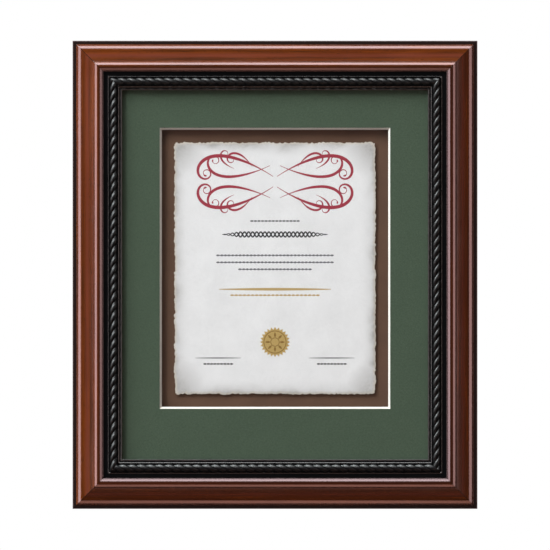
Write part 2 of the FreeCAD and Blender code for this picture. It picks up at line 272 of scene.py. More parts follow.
def copied(piece: Piece, name: str) -> Piece:
    """Copy a piece with its own mesh.

    Args:
        piece: The piece to copy.
        name: The copy's name.

    Returns:
        The copy.
    """
    twin = piece.copy()
    twin.data = piece.data.copy()
    bpy.context.scene.collection.objects.link(twin)
    return named(twin, name)


def joined(pieces: Sequence[Piece], name: str) -> Piece:
    """Join several pieces into one.

    Args:
        pieces: The pieces, which are used up.
        name: The name of what they become.

    Returns:
        The joined piece.
    """
    bpy.ops.object.select_all(action="DESELECT")
    for piece in pieces:
        piece.select_set(True)
    bpy.context.view_layer.objects.active = pieces[0]
    bpy.ops.object.join()
    return named(pieces[0], name)


def outlined(name: str, points: Sequence[Vector]) -> Piece:
    """A flat filled outline, drawn point by point.

    Args:
        name: The piece's name.
        points: The corners in order.

    Returns:
        The piece, with one face.
    """
    piece = started(name, bpy.ops.mesh.primitive_plane_add, size=0.001, location=points[0])
    applied(piece)
    with editing(piece, "VERT"):
        select_whole()
        bpy.ops.mesh.merge(type="CENTER")
        for before, after in zip(points, points[1:]):
            pull(after - before)
        select_whole()
        bpy.ops.mesh.edge_face_add()
    return piece


def extruded(piece: Piece, along: Vector) -> None:
    """Extrude a flat piece into a solid.

    Args:
        piece: The flat piece.
        along: How far and which way.
    """
    with editing(piece):
        select_whole()
        pull(along)
        turn_outwards()


def trimmed(piece: Piece, place: Sequence[float], away: Sequence[float]) -> None:
    """Cut off what lies beyond a plane and close the cut.

    Args:
        piece: The piece to cut.
        place: A point on the plane.
        away: The plane's normal, towards what is cut off.
    """
    with editing(piece):
        select_whole()
        bpy.ops.mesh.bisect(plane_co=place, plane_no=away, use_fill=True, clear_outer=True)
        turn_outwards()


def mitred(piece: Piece, length: float) -> None:
    """Cut both ends of a member at 45 degrees, its outer edge at Z zero."""
    trimmed(piece, (length / 2, 0, 0), (1, 0, 1))
    trimmed(piece, (-length / 2, 0, 0), (-1, 0, 1))


def modified(piece: Piece, kind: str, **settings: Any) -> None:
    """Add one modifier and apply it.

    Args:
        piece: The piece.
        kind: The kind of modifier.
        **settings: The modifier's settings.
    """
    only(piece)
    modifier = piece.modifiers.new(kind.lower(), kind)
    for name, value in settings.items():
        setattr(modifier, name, value)
    bpy.ops.object.modifier_apply(modifier=modifier.name)


def softened(piece: Piece, width: float, angle: float, segments: int = 2) -> None:
    """Round the sharp edges of a piece.

    Args:
        piece: The piece.
        width: Width of the rounding.
        angle: Edges sharper than this many degrees are rounded.
        segments: Faces across the rounding.
    """
    limit = math.radians(angle)
    modified(piece, "BEVEL", width=width, segments=segments, limit_method="ANGLE", angle_limit=limit)


def smoothed(piece: Piece, angle: float) -> None:
    """Shade a piece smooth except across edges sharper than an angle in degrees."""
    only(piece)
    bpy.ops.object.shade_smooth_by_angle(angle=math.radians(angle))


def combined(piece: Piece, other: Piece, operation: str = "DIFFERENCE") -> None:
    """Cut a piece by another, or keep what both fill (INTERSECT); the other is used up."""
    modified(piece, "BOOLEAN", operation=operation, object=other, solver="EXACT")
    bpy.data.objects.remove(other)


def coated(piece: Piece, material: Material) -> None:
    """Give a piece one material in place of any that it has."""
    piece.data.materials.clear()
    piece.data.materials.append(material)


def finished(
    piece: Piece,
    material: Material,
    body: str = "frame",
    replaces: Sequence[str] = (),
) -> None:
    """Dress a piece and hand it over to its body.

    Args:
        piece: The piece, its place in its mesh.
        material: Its only material.
        body: The body it rides on.
        replaces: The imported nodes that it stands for.
    """
    coated(piece, material)
    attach(piece, body)
    if replaces:
        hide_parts(*replaces)
    log.info("%s: %d faces on %s", piece.name, len(piece.data.polygons), body)


def stroked(
    name: str, points: Sequence[Vector], radii: Sequence[float], closed: bool = False, roundness: int = 4
) -> Piece:
    """A wire that follows points with its own radius at each.

    Args:
        name: The piece's name.
        points: The wire's centre line.
        radii: The wire's radius at each point.
        closed: Whether the ends meet.
        roundness: How finely the wire is rounded.

    Returns:
        The wire as a mesh.
    """
    curve = bpy.data.curves.new(name, "CURVE")
    curve.dimensions = "3D"
    curve.bevel_depth = 1.0
    curve.bevel_resolution = roundness
    curve.use_fill_caps = not closed
    curve.twist_mode = "MINIMUM"
    spline = curve.splines.new("POLY")
    spline.points.add(len(points) - 1)
    for point, place, radius in zip(spline.points, points, radii):
        point.co = (*place, 1)
        point.radius = radius
    spline.use_cyclic_u = closed
    wire = bpy.data.objects.new(name, curve)
    bpy.context.scene.collection.objects.link(wire)
    only(wire)
    bpy.ops.object.convert(target="MESH")
    return bpy.context.object


def cylinder(name: str, radius: float, depth: float, place: Sequence[float], sides: int = 48) -> Piece:
    """A cylinder along Y.

    Args:
        name: The piece's name.
        radius: Its radius.
        depth: Its length.
        place: Its middle.
        sides: How many sides stand for its round.

    Returns:
        The cylinder.
    """
    piece = started(
        name,
        bpy.ops.mesh.primitive_cylinder_add,
        vertices=sides,
        radius=radius,
        depth=depth,
        rotation=(math.pi / 2, 0, 0),
    )
    piece.location = place
    applied(piece)
    return piece


def arc(
    radius: float, start: float, sweep: float, steps: int, middle: Sequence[float] = (0, 0)
) -> list[Vector]:
    """Points of an arc in a plane, from a start angle over a sweep in radians."""
    turns = [start + sweep * step / steps for step in range(steps + 1)]
    return [Vector((middle[0] + radius * math.cos(t), middle[1] + radius * math.sin(t))) for t in turns]


def dressed(node: str, material: Material) -> None:
    """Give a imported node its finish."""
    coated(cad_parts[node], material)
    log.info("%s: packed node, %s", node, material.name)


def bowed(start: Vector, end: Vector, bulge: float, steps: int) -> list[Vector]:
    """Points of an arc in a section plane after its start.

    Args:
        start: Where the arc starts, as distance in and height.
        end: Where it ends.
        bulge: How far it bows to the front, as a share of its chord.
        steps: Straight steps that stand for it.

    Returns:
        The points after the start, the end among them.
    """
    if not bulge:
        return [end]
    chord = end - start
    half_turn = 2 * math.atan(2 * abs(bulge))
    radius = chord.length / (2 * math.sin(half_turn))
    along = chord.normalized()
    front = Vector((-along.y, along.x)) * math.copysign(1, bulge)
    centre = start + chord / 2 - front * (radius * math.cos(half_turn))
    points = []
    for step in range(1, steps + 1):
        turn = half_turn * (2 * step / steps - 1)
        points.append(centre + (along * math.sin(turn) + front * math.cos(turn)) * radius)
    return points


# Node benches and shared effects


class Bench:
    """A node tree that is being wired, with short calls for the nodes used here."""

    def __init__(self, tree: Tree) -> None:
        """Work on one tree."""
        self.tree = tree

    def feed(self, socket: Socket, value: Any) -> None:
        """Join an input to an output, or set it to a constant.

        Args:
            socket: The input.
            value: An output or a constant.
        """
        if isinstance(value, Socket):
            self.tree.links.new(value, socket)
        else:
            socket.default_value = value

    def node(self, kind: str, inputs: dict[Any, Any] | None = None, **settings: Any) -> Node:
        """Add a node, set it up and feed its inputs.

        Args:
            kind: The node's type.
            inputs: What each input gets, by name or number.
            **settings: The node's own settings.

        Returns:
            The node.
        """
        made = self.tree.nodes.new(kind)
        for name, value in settings.items():
            setattr(made, name, value)
        for key, value in (inputs or {}).items():
            self.feed(made.inputs[key], value)
        return made

    def math(self, operation: str, first: Any, second: Any = 0.0) -> Socket:
        """A Math node on two values."""
        return self.node("ShaderNodeMath", {0: first, 1: second}, operation=operation).outputs[0]

    def times(self, first: Any, second: Any) -> Socket:
        """The product of two values."""
        return self.math("MULTIPLY", first, second)

    def plus(self, first: Any, second: Any) -> Socket:
        """The sum of two values."""
        return self.math("ADD", first, second)

    def larger(self, first: Any, second: Any) -> Socket:
        """The larger of two values."""
        return self.math("MAXIMUM", first, second)

    def gap(self, first: Any, second: Any) -> Socket:
        """How far apart two values are."""
        return self.math("ABSOLUTE", self.math("SUBTRACT", first, second))

    def mean(self, first: Any, second: Any, share: float) -> Socket:
        """A mean of two values in which the first has a share."""
        return self.plus(self.times(first, share), self.times(second, 1 - share))

    def remap(self, value: Any, low: float, high: float, to_low: float = 0.0, to_high: float = 1.0) -> Socket:
        """A clamped change of range."""
        ends = {1: low, 2: high, 3: to_low, 4: to_high}
        return self.node("ShaderNodeMapRange", {0: value, **ends}).outputs[0]

    def blend(self, factor: Any, first: Any, second: Any, mode: str = "MIX") -> Socket:
        """A mix of two colours."""
        inputs = {0: factor, 6: first, 7: second}
        return self.node("ShaderNodeMix", inputs, data_type="RGBA", blend_type=mode).outputs[2]

    def noise(self, vector: Socket, scale: float, detail: float = 2.0, distortion: float = 0.0) -> Socket:
        """The value of a noise texture."""
        inputs = {"Vector": vector, "Scale": scale, "Detail": detail, "Distortion": distortion}
        return self.node("ShaderNodeTexNoise", inputs).outputs[0]

    def cells(self, vector: Socket, scale: float) -> Socket:
        """The distance of a cell texture."""
        return self.node("ShaderNodeTexVoronoi", {"Vector": vector, "Scale": scale}).outputs[0]

    def mapped(
        self,
        vector: Socket,
        shift: Sequence[float] = (0, 0, 0),
        turn: Sequence[float] = (0, 0, 0),
        stretch: Sequence[float] = (1, 1, 1),
    ) -> Socket:
        """A shifted, turned and stretched coordinate."""
        inputs = {"Vector": vector, "Location": shift, "Rotation": turn, "Scale": stretch}
        return self.node("ShaderNodeMapping", inputs).outputs[0]

    def split(self, vector: Socket) -> tuple[Socket, ...]:
        """The three parts of a coordinate."""
        return tuple(self.node("ShaderNodeSeparateXYZ", {0: vector}).outputs)

    def bump(self, height: Socket, strength: float, distance: float) -> Socket:
        """A normal bumped by a height."""
        inputs = {"Strength": strength, "Distance": distance, "Height": height}
        return self.node("ShaderNodeBump", inputs).outputs[0]

    def effect(self, kind: type["Effect"], spot: Socket, **values: Any) -> Node:
        """Place a shared effect on a coordinate, with its own values."""
        return self.node("ShaderNodeGroup", {"Vector": spot, **values}, node_tree=kind.group())

    def inset(self, spot: Socket, half_width: float, half_height: float, middle: float) -> Node:
        """Place the distances from one upright rectangle's edges."""
        sizes = {"Half Width": half_width, "Half Height": half_height, "Middle": middle}
        return self.effect(RectangleInset, spot, **sizes)

    def seen(self, mirrored_share: Any = 1.0) -> Socket:
        """A mask of what the camera sees, straight or by way of a mirror or a clear sheet.

        Args:
            mirrored_share: How much of what is mirrored or seen through a sheet counts.

        Returns:
            The mask.
        """
        path = self.node("ShaderNodeLightPath").outputs
        mirrored = self.larger(path["Is Glossy Ray"], path["Is Transmission Ray"])
        return self.larger(path["Is Camera Ray"], self.times(mirrored, mirrored_share))

    def place(self) -> Socket:
        """The object coordinate."""
        return self.node("ShaderNodeTexCoord").outputs["Object"]


class Surface(Bench):
    """A material with one Principled shader."""

    def __init__(self, name: str) -> None:
        """Start a material with an empty tree.

        Args:
            name: The material's name.
        """
        self.material = bpy.data.materials.new(name)
        self.material.use_nodes = True
        super().__init__(self.material.node_tree)
        self.tree.nodes.clear()
        self.shader = self.node("ShaderNodeBsdfPrincipled")
        self.output = self.node("ShaderNodeOutputMaterial", {0: self.shader.outputs[0]})

    def set(self, **values: Any) -> Material:
        """Feed the shader.

        Args:
            **values: Its sockets' values, with underscores for the spaces in their names.

        Returns:
            The material.
        """
        for name, value in values.items():
            self.feed(self.shader.inputs[name.replace("_", " ")], value)
        return self.material

    def along(self, spot: Socket, side: Side, shift_divisor: float) -> Socket:
        """The coordinate turned to one side of the frame and shifted, so that no two sides match."""
        shift = (side.value / shift_divisor, 0, 0)
        return self.mapped(spot, shift=shift, turn=(0, math.radians(-side.value), 0))

    def raw_back(self, spot: Socket, back: float, depth: float) -> Socket:
        """A mask of the bare wood at a member's back."""
        return self.remap(self.split(spot)[1], back - depth, back - depth / 2)


class Effect(Bench):
    """A shared effect: a node group of masks over the surface, built once."""

    name = ""
    inputs: tuple[str, ...] = ()
    outputs: tuple[str, ...] = ()

    def __init__(self) -> None:
        """Build the group with its sockets and its two ends."""
        super().__init__(bpy.data.node_groups.new(self.name, "ShaderNodeTree"))
        sockets = self.tree.interface
        sockets.new_socket("Vector", in_out="INPUT", socket_type="NodeSocketVector")
        for label in self.inputs:
            sockets.new_socket(label, in_out="INPUT", socket_type="NodeSocketFloat")
        for label in self.outputs:
            sockets.new_socket(label, in_out="OUTPUT", socket_type="NodeSocketFloat")
        self.given = self.node("NodeGroupInput").outputs
        self.made = self.node("NodeGroupOutput").inputs
        self.wire()

    def wire(self) -> None:
        """Wire the group from what it is given to what it makes."""
        raise NotImplementedError

    def make(self, label: str, value: Socket, low: float, high: float) -> None:
        """Put out a value whose range from low to high becomes 0 to 1."""
        self.feed(self.made[label], self.remap(value, low, high))

    @classmethod
    def group(cls) -> Tree:
        """The node group, built when it is first asked for."""
        known = bpy.data.node_groups.get(cls.name)
        return cls().tree if known is None else known


class WoodGrain(Effect):
    """Streaks, pores and slow figure of wood whose grain runs along X."""

    name = "wood_grain"
    outputs = ("Streaks", "Pores", "Figure")

    def wire(self) -> None:
        """Wire the grain."""
        spot = self.given["Vector"]
        streaks = self.noise(self.mapped(spot, stretch=(7, 330, 330)), 1.0, 4.0, 0.4)
        fine = self.noise(self.mapped(spot, shift=(3, 1, 2), stretch=(25, 1300, 1300)), 1.0, 2.0)
        pores = self.noise(self.mapped(spot, shift=(1, 5, 4), stretch=(170, 2600, 2600)), 1.0, 1.0)
        figure = self.noise(self.mapped(spot, shift=(2, 7, 1), stretch=(9, 45, 45)), 1.0, 2.0, 0.8)
        self.make("Streaks", self.mean(streaks, fine, 0.65), 0.36, 0.64)
        self.make("Pores", pores, 0.60, 0.72)
        self.make("Figure", figure, 0.35, 0.65)


class RectangleInset(Effect):
    """Distances inwards from an upright rectangle's nearest edge and away from its mitre lines."""

    name = "rectangle_inset"
    inputs = ("Half Width", "Half Height", "Middle")
    outputs = ("Inset", "Joint")

    def wire(self) -> None:
        """Wire the distances."""
        across, _, up = self.split(self.given["Vector"])
        side = self.math("SUBTRACT", self.given["Half Width"], self.math("ABSOLUTE", across))
        end = self.math("SUBTRACT", self.given["Half Height"], self.gap(up, self.given["Middle"]))
        self.feed(self.made["Inset"], self.math("MINIMUM", side, end))
        self.feed(self.made["Joint"], self.gap(side, end))


class PaperFibre(Effect):
    """Fine tooth, soft clouding and small flecks of paper and board."""

    name = "paper_fibre"
    outputs = ("Tooth", "Clouds", "Flecks")

    def wire(self) -> None:
        """Wire the fibres."""
        spot = self.given["Vector"]
        tooth = self.noise(spot, 1500.0, 3.0)
        strands = self.noise(self.mapped(spot, turn=(0, 0.6, 0), stretch=(500, 500, 2200)), 1.0, 2.0, 1.5)
        self.make("Tooth", self.mean(tooth, strands, 0.5), 0.3, 0.7)
        self.make("Clouds", self.noise(spot, 38.0, 4.0), 0.3, 0.7)
        self.make("Flecks", self.cells(spot, 260.0), 0.16, 0.06)


class HandlingMarks(Effect):
    """Smears and a sparse dust that dull a polished or painted surface."""

    name = "handling_marks"
    outputs = ("Smears", "Dust")

    def wire(self) -> None:
        """Wire the marks."""
        spot = self.given["Vector"]
        smears = self.noise(self.mapped(spot, turn=(0.3, 0.9, 0.2), stretch=(30, 90, 30)), 1.0, 5.0, 0.6)
        self.make("Smears", smears, 0.35, 0.7)
        self.make("Dust", self.noise(spot, 900.0, 2.0), 0.62, 0.75)


class RolledMetal(Effect):
    """Fine drawing lines and faint tarnish of sheet and wire metal."""

    name = "rolled_metal"
    outputs = ("Lines", "Stain")

    def wire(self) -> None:
        """Wire the lines."""
        spot = self.given["Vector"]
        self.make("Lines", self.noise(self.mapped(spot, stretch=(120, 3500, 3500)), 1.0, 3.0), 0.3, 0.7)
        self.make("Stain", self.noise(spot, 160.0, 4.0, 0.5), 0.4, 0.7)


# Finishes


@dataclass(frozen=True)
class Mahogany:
    """Stained and lacquered mahogany with a black painted outer edge and a raw back.

    The right and bottom rails are multiplied darker: a painted shade for the weaker light that falls on them.
    """

    layout: Layout
    dark: Colour = paint(44, 17, 1)
    warm: Colour = paint(80, 34, 2)
    figure: Colour = paint(58, 22, 6)
    figure_share: float = 0.6
    pore: Colour = paint(20, 9, 3)
    pore_share: float = 0.55
    # Painted sheen: the colour and place of a band along the middle of the scoop.
    band: Colour = paint(80, 35, 24)
    band_inset: float = 0.0148
    band_width: float = 0.0036
    band_wander: float = 0.0012
    band_share: float = 0.75
    # Painted shade for the right and bottom rails.
    painted_side_shade: Colour = paint(208, 200, 196)
    joint_width: float = 0.0008
    joint_share: float = 0.75
    inner_wash: Colour = paint(26, 12, 10)
    wash_start: float = 0.0246
    wash_end: float = 0.0285
    wash_share: float = 0.92
    wash_roughness: float = 0.27
    edge_paint: Colour = paint(18, 10, 8)
    painted_width: float = 0.0037
    painted_ragged: float = 0.0002
    painted_roughness: float = 0.22
    raw: Colour = paint(178, 140, 98)
    raw_depth: float = 0.0003
    raw_streaks: float = 0.35
    raw_roughness: float = 0.8
    sheen: Colour = paint(255, 226, 230)
    lacquer_ior: float = 1.62
    lacquer_roughness: float = 0.17
    smear_roughness: float = 0.03
    streak_relief: float = 0.6
    pore_relief: float = -0.2
    relief: float = 0.08
    relief_depth: float = 0.00001
    shift_divisor: float = 7.0

    def material(self, side: Side) -> Material:
        """The finish with its grain along one side.

        Args:
            side: The side of the frame.

        Returns:
            The material.
        """
        surface = Surface(f"mahogany_{side.label}")
        spot = surface.place()
        along = surface.along(spot, side, self.shift_divisor)
        grain = surface.effect(WoodGrain, along).outputs
        marks = surface.effect(HandlingMarks, along).outputs
        streaks, pores, figure = grain["Streaks"], grain["Pores"], grain["Figure"]

        wood = surface.blend(streaks, self.dark, self.warm)
        wood = surface.blend(surface.times(figure, self.figure_share), wood, self.figure)
        wood = surface.blend(surface.times(pores, self.pore_share), wood, self.pore)

        middle = self.layout.middle
        placed = surface.inset(spot, self.layout.half_width, middle, middle).outputs
        inset = placed["Inset"]
        narrow = self.joint_width / 3
        joint = surface.remap(placed["Joint"], self.joint_width, narrow, 0.0, self.joint_share)
        # Painted sheen: a desaturated pinkish band along the middle of the scoop, where the lamps' reflection
        # falls.
        away = surface.plus(surface.gap(inset, self.band_inset), surface.times(figure, self.band_wander))
        wood = surface.blend(surface.remap(away, self.band_width, 0.0, 0.0, self.band_share), wood, self.band)
        # Painted shade: the right and bottom rails are darkened as if less light reached them.
        if side in (Side.RIGHT, Side.BOTTOM):
            wood = surface.blend(1.0, wood, self.painted_side_shade, "MULTIPLY")
        ragged = surface.plus(inset, surface.times(streaks, self.painted_ragged))
        painted = surface.remap(ragged, self.painted_width + self.painted_ragged, self.painted_width)
        washed = surface.remap(inset, self.wash_start, self.wash_end, 0.0, self.wash_share)
        wood = surface.blend(washed, wood, self.inner_wash)
        wood = surface.blend(joint, wood, self.pore)
        colour = surface.blend(painted, wood, self.edge_paint)

        raw = surface.raw_back(spot, self.layout.back, self.raw_depth)
        raw_wood = surface.blend(surface.times(streaks, self.raw_streaks), self.raw, self.warm)
        colour = surface.blend(raw, colour, raw_wood)

        smears = surface.times(marks["Smears"], self.smear_roughness)
        gloss = surface.plus(self.lacquer_roughness, smears)
        gloss = surface.larger(gloss, surface.times(painted, self.painted_roughness))
        gloss = surface.larger(gloss, surface.times(washed, self.wash_roughness))
        gloss = surface.larger(gloss, surface.times(raw, self.raw_roughness))
        pitted = surface.times(pores, self.pore_relief)
        height = surface.plus(surface.times(streaks, self.streak_relief), pitted)
        return surface.set(
            Base_Color=colour,
            Roughness=gloss,
            IOR=self.lacquer_ior,
            Specular_Tint=self.sheen,
            Normal=surface.bump(height, self.relief, self.relief_depth),
        )


@dataclass(frozen=True)
class BlackPaint:
    """Satin black paint over wood, with faint brush lines along its side and a raw back."""

    layout: Layout
    name: str
    roughness: float
    specular: float
    brush_relief: float
    brush_depth: float = 0.000015
    colour: Colour = paint(2, 2, 3)
    worn: Colour = paint(7, 6, 7)
    worn_share: float = 0.2
    dust: Colour = grey(90)
    dust_share: float = 0.02
    smear_roughness: float = 0.05
    raw: Colour = paint(118, 94, 68)
    raw_grain: Colour = paint(94, 73, 52)
    raw_depth: float = 0.0003
    raw_roughness: float = 0.8
    shift_divisor: float = 9.0

    def material(self, side: Side) -> Material:
        """The finish with its brush lines along one side.

        Args:
            side: The side of the frame.

        Returns:
            The material.
        """
        surface = Surface(f"{self.name}_{side.label}")
        spot = surface.place()
        along = surface.along(spot, side, self.shift_divisor)
        streaks = surface.effect(WoodGrain, along).outputs["Streaks"]
        marks = surface.effect(HandlingMarks, along).outputs
        smears, dust = marks["Smears"], marks["Dust"]

        colour = surface.blend(surface.times(smears, self.worn_share), self.colour, self.worn)
        colour = surface.blend(surface.times(dust, self.dust_share), colour, self.dust)
        raw = surface.raw_back(spot, self.layout.back, self.raw_depth)
        colour = surface.blend(raw, colour, surface.blend(streaks, self.raw, self.raw_grain))
        gloss = surface.plus(self.roughness, surface.times(smears, self.smear_roughness))
        return surface.set(
            Base_Color=colour,
            Roughness=surface.larger(gloss, surface.times(raw, self.raw_roughness)),
            Specular_IOR_Level=self.specular,
            Normal=surface.bump(streaks, self.brush_relief, self.brush_depth),
        )


@dataclass(frozen=True)
class MatPaper:
    """Green mat paper over a white core that shows in the bevel and at the back."""

    layout: Layout
    front: float
    paper: Colour = paint(82, 98, 81)
    shade: Colour = paint(68, 84, 68)
    core: Colour = paint(240, 236, 228)
    core_shade: Colour = grey(190)
    core_share: float = 0.12
    paper_depth: float = 0.0002
    cut_width: float = 0.00005
    weave_scale: float = 620.0
    tooth_share: float = 0.35
    cloud_share: float = 0.2
    roughness: float = 0.92
    specular: float = 0.2
    relief: float = 0.35
    relief_depth: float = 0.00012

    def material(self) -> Material:
        """The finish of the mat board.

        Returns:
            The material.
        """
        surface = Surface("green_mat_paper")
        spot = surface.place()
        fibre = surface.effect(PaperFibre, spot).outputs
        tooth = fibre["Tooth"]
        weave = surface.remap(surface.noise(spot, self.weave_scale, 3.0), 0.3, 0.7)
        weave = surface.mean(tooth, weave, self.tooth_share)
        paper = surface.blend(weave, self.shade, self.paper)
        paper = surface.blend(surface.times(fibre["Clouds"], self.cloud_share), paper, self.shade)
        core = surface.blend(surface.times(tooth, self.core_share), self.core, self.core_shade)
        layout = self.layout
        window = (layout.window_half_width, layout.window_half_height, layout.window_middle)
        inside = surface.inset(spot, *window).outputs["Inset"]
        cut = surface.remap(inside, -self.cut_width, self.cut_width)
        depth = surface.split(spot)[1]
        behind = surface.remap(depth, self.front + self.paper_depth / 2, self.front + self.paper_depth)
        return surface.set(
            Base_Color=surface.blend(surface.larger(cut, behind), paper, core),
            Roughness=self.roughness,
            Specular_IOR_Level=self.specular,
            Normal=surface.bump(tooth, self.relief, self.relief_depth),
        )


@dataclass(frozen=True)
class BoardPaper:
    """Matte board in two tones with paper fibre."""

    name: str
    light: Colour
    dark: Colour
    clouding: float
    flecking: float = 0.0
    fleck: Colour = paint(60, 42, 30)
    roughness: float = 0.9
    specular: float = 0.25
    relief: float = 0.4
    relief_depth: float = 0.00015

    def material(self) -> Material:
        """The finish of one kind of board.

        Returns:
            The material.
        """
        surface = Surface(self.name)
        fibre = surface.effect(PaperFibre, surface.place()).outputs
        tone = surface.mean(fibre["Clouds"], fibre["Tooth"], self.clouding)
        colour = surface.blend(tone, self.dark, self.light)
        flecks = surface.times(fibre["Flecks"], self.flecking)
        return surface.set(
            Base_Color=surface.blend(flecks, colour, self.fleck),
            Roughness=self.roughness,
            Specular_IOR_Level=self.specular,
            Normal=surface.bump(fibre["Tooth"], self.relief, self.relief_depth),
        )


@dataclass(frozen=True)
class Parchment:
    """Aged paper, pale in the middle and mottled grey towards torn, warm-rimmed edges."""

    layout: Layout
    pale: Colour = paint(249, 249, 250)
    clouded: Colour = paint(230, 230, 231)
    aged: Colour = paint(180, 178, 176)
    rim: Colour = paint(214, 204, 188)
    rim_share: float = 0.85
    drift_scale: float = 45.0
    grain_scale: float = 420.0
    drift_share: float = 0.6
    mottle_share: float = 0.5
    edge_wander: float = 0.016
    edge_width: float = 0.019
    edge_fade: float = 2.7
    corner_start: float = 0.6
    corner_end: float = 0.88
    corner_wander: float = 6.0
    roughness: float = 0.85
    specular: float = 0.25
    relief: float = 0.25
    relief_depth: float = 0.0001

    def material(self) -> Material:
        """The finish of the sheet.

        Returns:
            The material.
        """
        surface = Surface("aged_parchment")
        spot = surface.place()
        tooth = surface.effect(PaperFibre, spot).outputs["Tooth"]
        middle = self.layout.window_middle
        half_width, half_height = self.layout.sheet_half_width, self.layout.sheet_half_height
        inset = surface.inset(spot, half_width, half_height, middle).outputs["Inset"]
        drift = surface.noise(spot, self.drift_scale, 5.0, 0.3)
        grain = surface.noise(spot, self.grain_scale, 3.0)
        shift = surface.times(surface.math("SUBTRACT", drift, 0.5), self.edge_wander)
        near = surface.remap(surface.plus(inset, shift), self.edge_width, 0.0)
        near = surface.math("POWER", near, self.edge_fade)
        across, _, up = surface.split(surface.mapped(spot, shift=(0, 0, -middle)))
        far = surface.times(surface.math("DIVIDE", across, half_width), up)
        far = surface.math("ABSOLUTE", surface.math("DIVIDE", far, half_height))
        far = surface.plus(far, surface.times(shift, self.corner_wander))
        near = surface.larger(near, surface.remap(far, self.corner_start, self.corner_end))
        mottle = surface.remap(surface.mean(drift, grain, self.drift_share), 0.35, 0.65)
        mottle = surface.times(mottle, self.mottle_share)
        colour = surface.blend(mottle, self.pale, self.clouded)
        colour = surface.blend(near, colour, surface.blend(mottle, self.aged, self.clouded))
        torn = surface.node("ShaderNodeAttribute", attribute_name="torn_rim").outputs["Fac"]
        return surface.set(
            Base_Color=surface.blend(surface.times(torn, self.rim_share), colour, self.rim),
            Roughness=self.roughness,
            Specular_IOR_Level=self.specular,
            Normal=surface.bump(tooth, self.relief, self.relief_depth),
        )


@dataclass(frozen=True)
class Glazing:
    """Clear sheet that hides next to nothing face on and mirrors at a slant."""

    facing_cover: float = 0.03
    slant_cover: float = 0.55
    fresnel_ior: float = 1.45
    ior: float = 1.5
    clean: Colour = grey(60)
    smeared: Colour = grey(65)
    clean_roughness: float = 0.02
    smeared_roughness: float = 0.028

    def material(self) -> Material:
        """The finish of the clear sheet.

        Returns:
            The material.
        """
        surface = Surface("clear_glazing")
        smears = surface.effect(HandlingMarks, surface.place()).outputs["Smears"]
        slant = surface.node("ShaderNodeFresnel", {"IOR": self.fresnel_ior}).outputs[0]
        return surface.set(
            Base_Color=surface.blend(smears, self.clean, self.smeared),
            Roughness=surface.remap(smears, 0.0, 1.0, self.clean_roughness, self.smeared_roughness),
            IOR=self.ior,
            Alpha=surface.remap(slant, 0.03, 1.0, self.facing_cover, self.slant_cover),
        )


@dataclass(frozen=True)
class Metal:
    """Plated or bare steel with drawing lines."""

    name: str
    light: Colour
    dark: Colour
    roughness: float
    stain_share: float = 0.7
    stain_roughness: float = 0.15
    relief: float = 0.15
    relief_depth: float = 0.00003

    def material(self) -> Material:
        """The finish of one kind of steel.

        Returns:
            The material.
        """
        surface = Surface(self.name)
        rolled = surface.effect(RolledMetal, surface.place()).outputs
        stain, rough = rolled["Stain"], self.roughness
        return surface.set(
            Base_Color=surface.blend(surface.times(stain, self.stain_share), self.light, self.dark),
            Metallic=1.0,
            Roughness=surface.remap(stain, 0.0, 1.0, rough, rough + self.stain_roughness),
            Normal=surface.bump(rolled["Lines"], self.relief, self.relief_depth),
        )


@dataclass(frozen=True)
class Ink:
    """Printed ink or foil that takes the paper's tooth."""

    name: str
    colour: Colour
    thin: Colour
    roughness: float = 0.6
    metallic: float = 0.0
    thin_share: float = 0.4
    relief: float = 0.2
    relief_depth: float = 0.00005

    def material(self) -> Material:
        """The finish of one ink or foil.

        Returns:
            The material.
        """
        surface = Surface(self.name)
        tooth = surface.effect(PaperFibre, surface.place()).outputs["Tooth"]
        return surface.set(
            Base_Color=surface.blend(surface.times(tooth, self.thin_share), self.colour, self.thin),
            Metallic=self.metallic,
            Roughness=self.roughness,
            Normal=surface.bump(tooth, self.relief, self.relief_depth),
        )


@dataclass(frozen=True)
class Rubber:
    """Matte moulded rubber with fine pitting."""

    colour: Colour = paint(30, 30, 32)
    bloom: Colour = paint(58, 57, 56)
    roughness: float = 0.75
    pit_scale: float = 1800.0
    relief: float = 0.3
    relief_depth: float = 0.0001

    def material(self) -> Material:
        """The finish of the bumpers.

        Returns:
            The material.
        """
        surface = Surface("bumper_rubber")
        spot = surface.place()
        smears = surface.effect(HandlingMarks, spot).outputs["Smears"]
        pits = surface.noise(spot, self.pit_scale)
        return surface.set(
            Base_Color=surface.blend(smears, self.colour, self.bloom),
            Roughness=self.roughness,
            Normal=surface.bump(pits, self.relief, self.relief_depth),
        )


# Mouldings


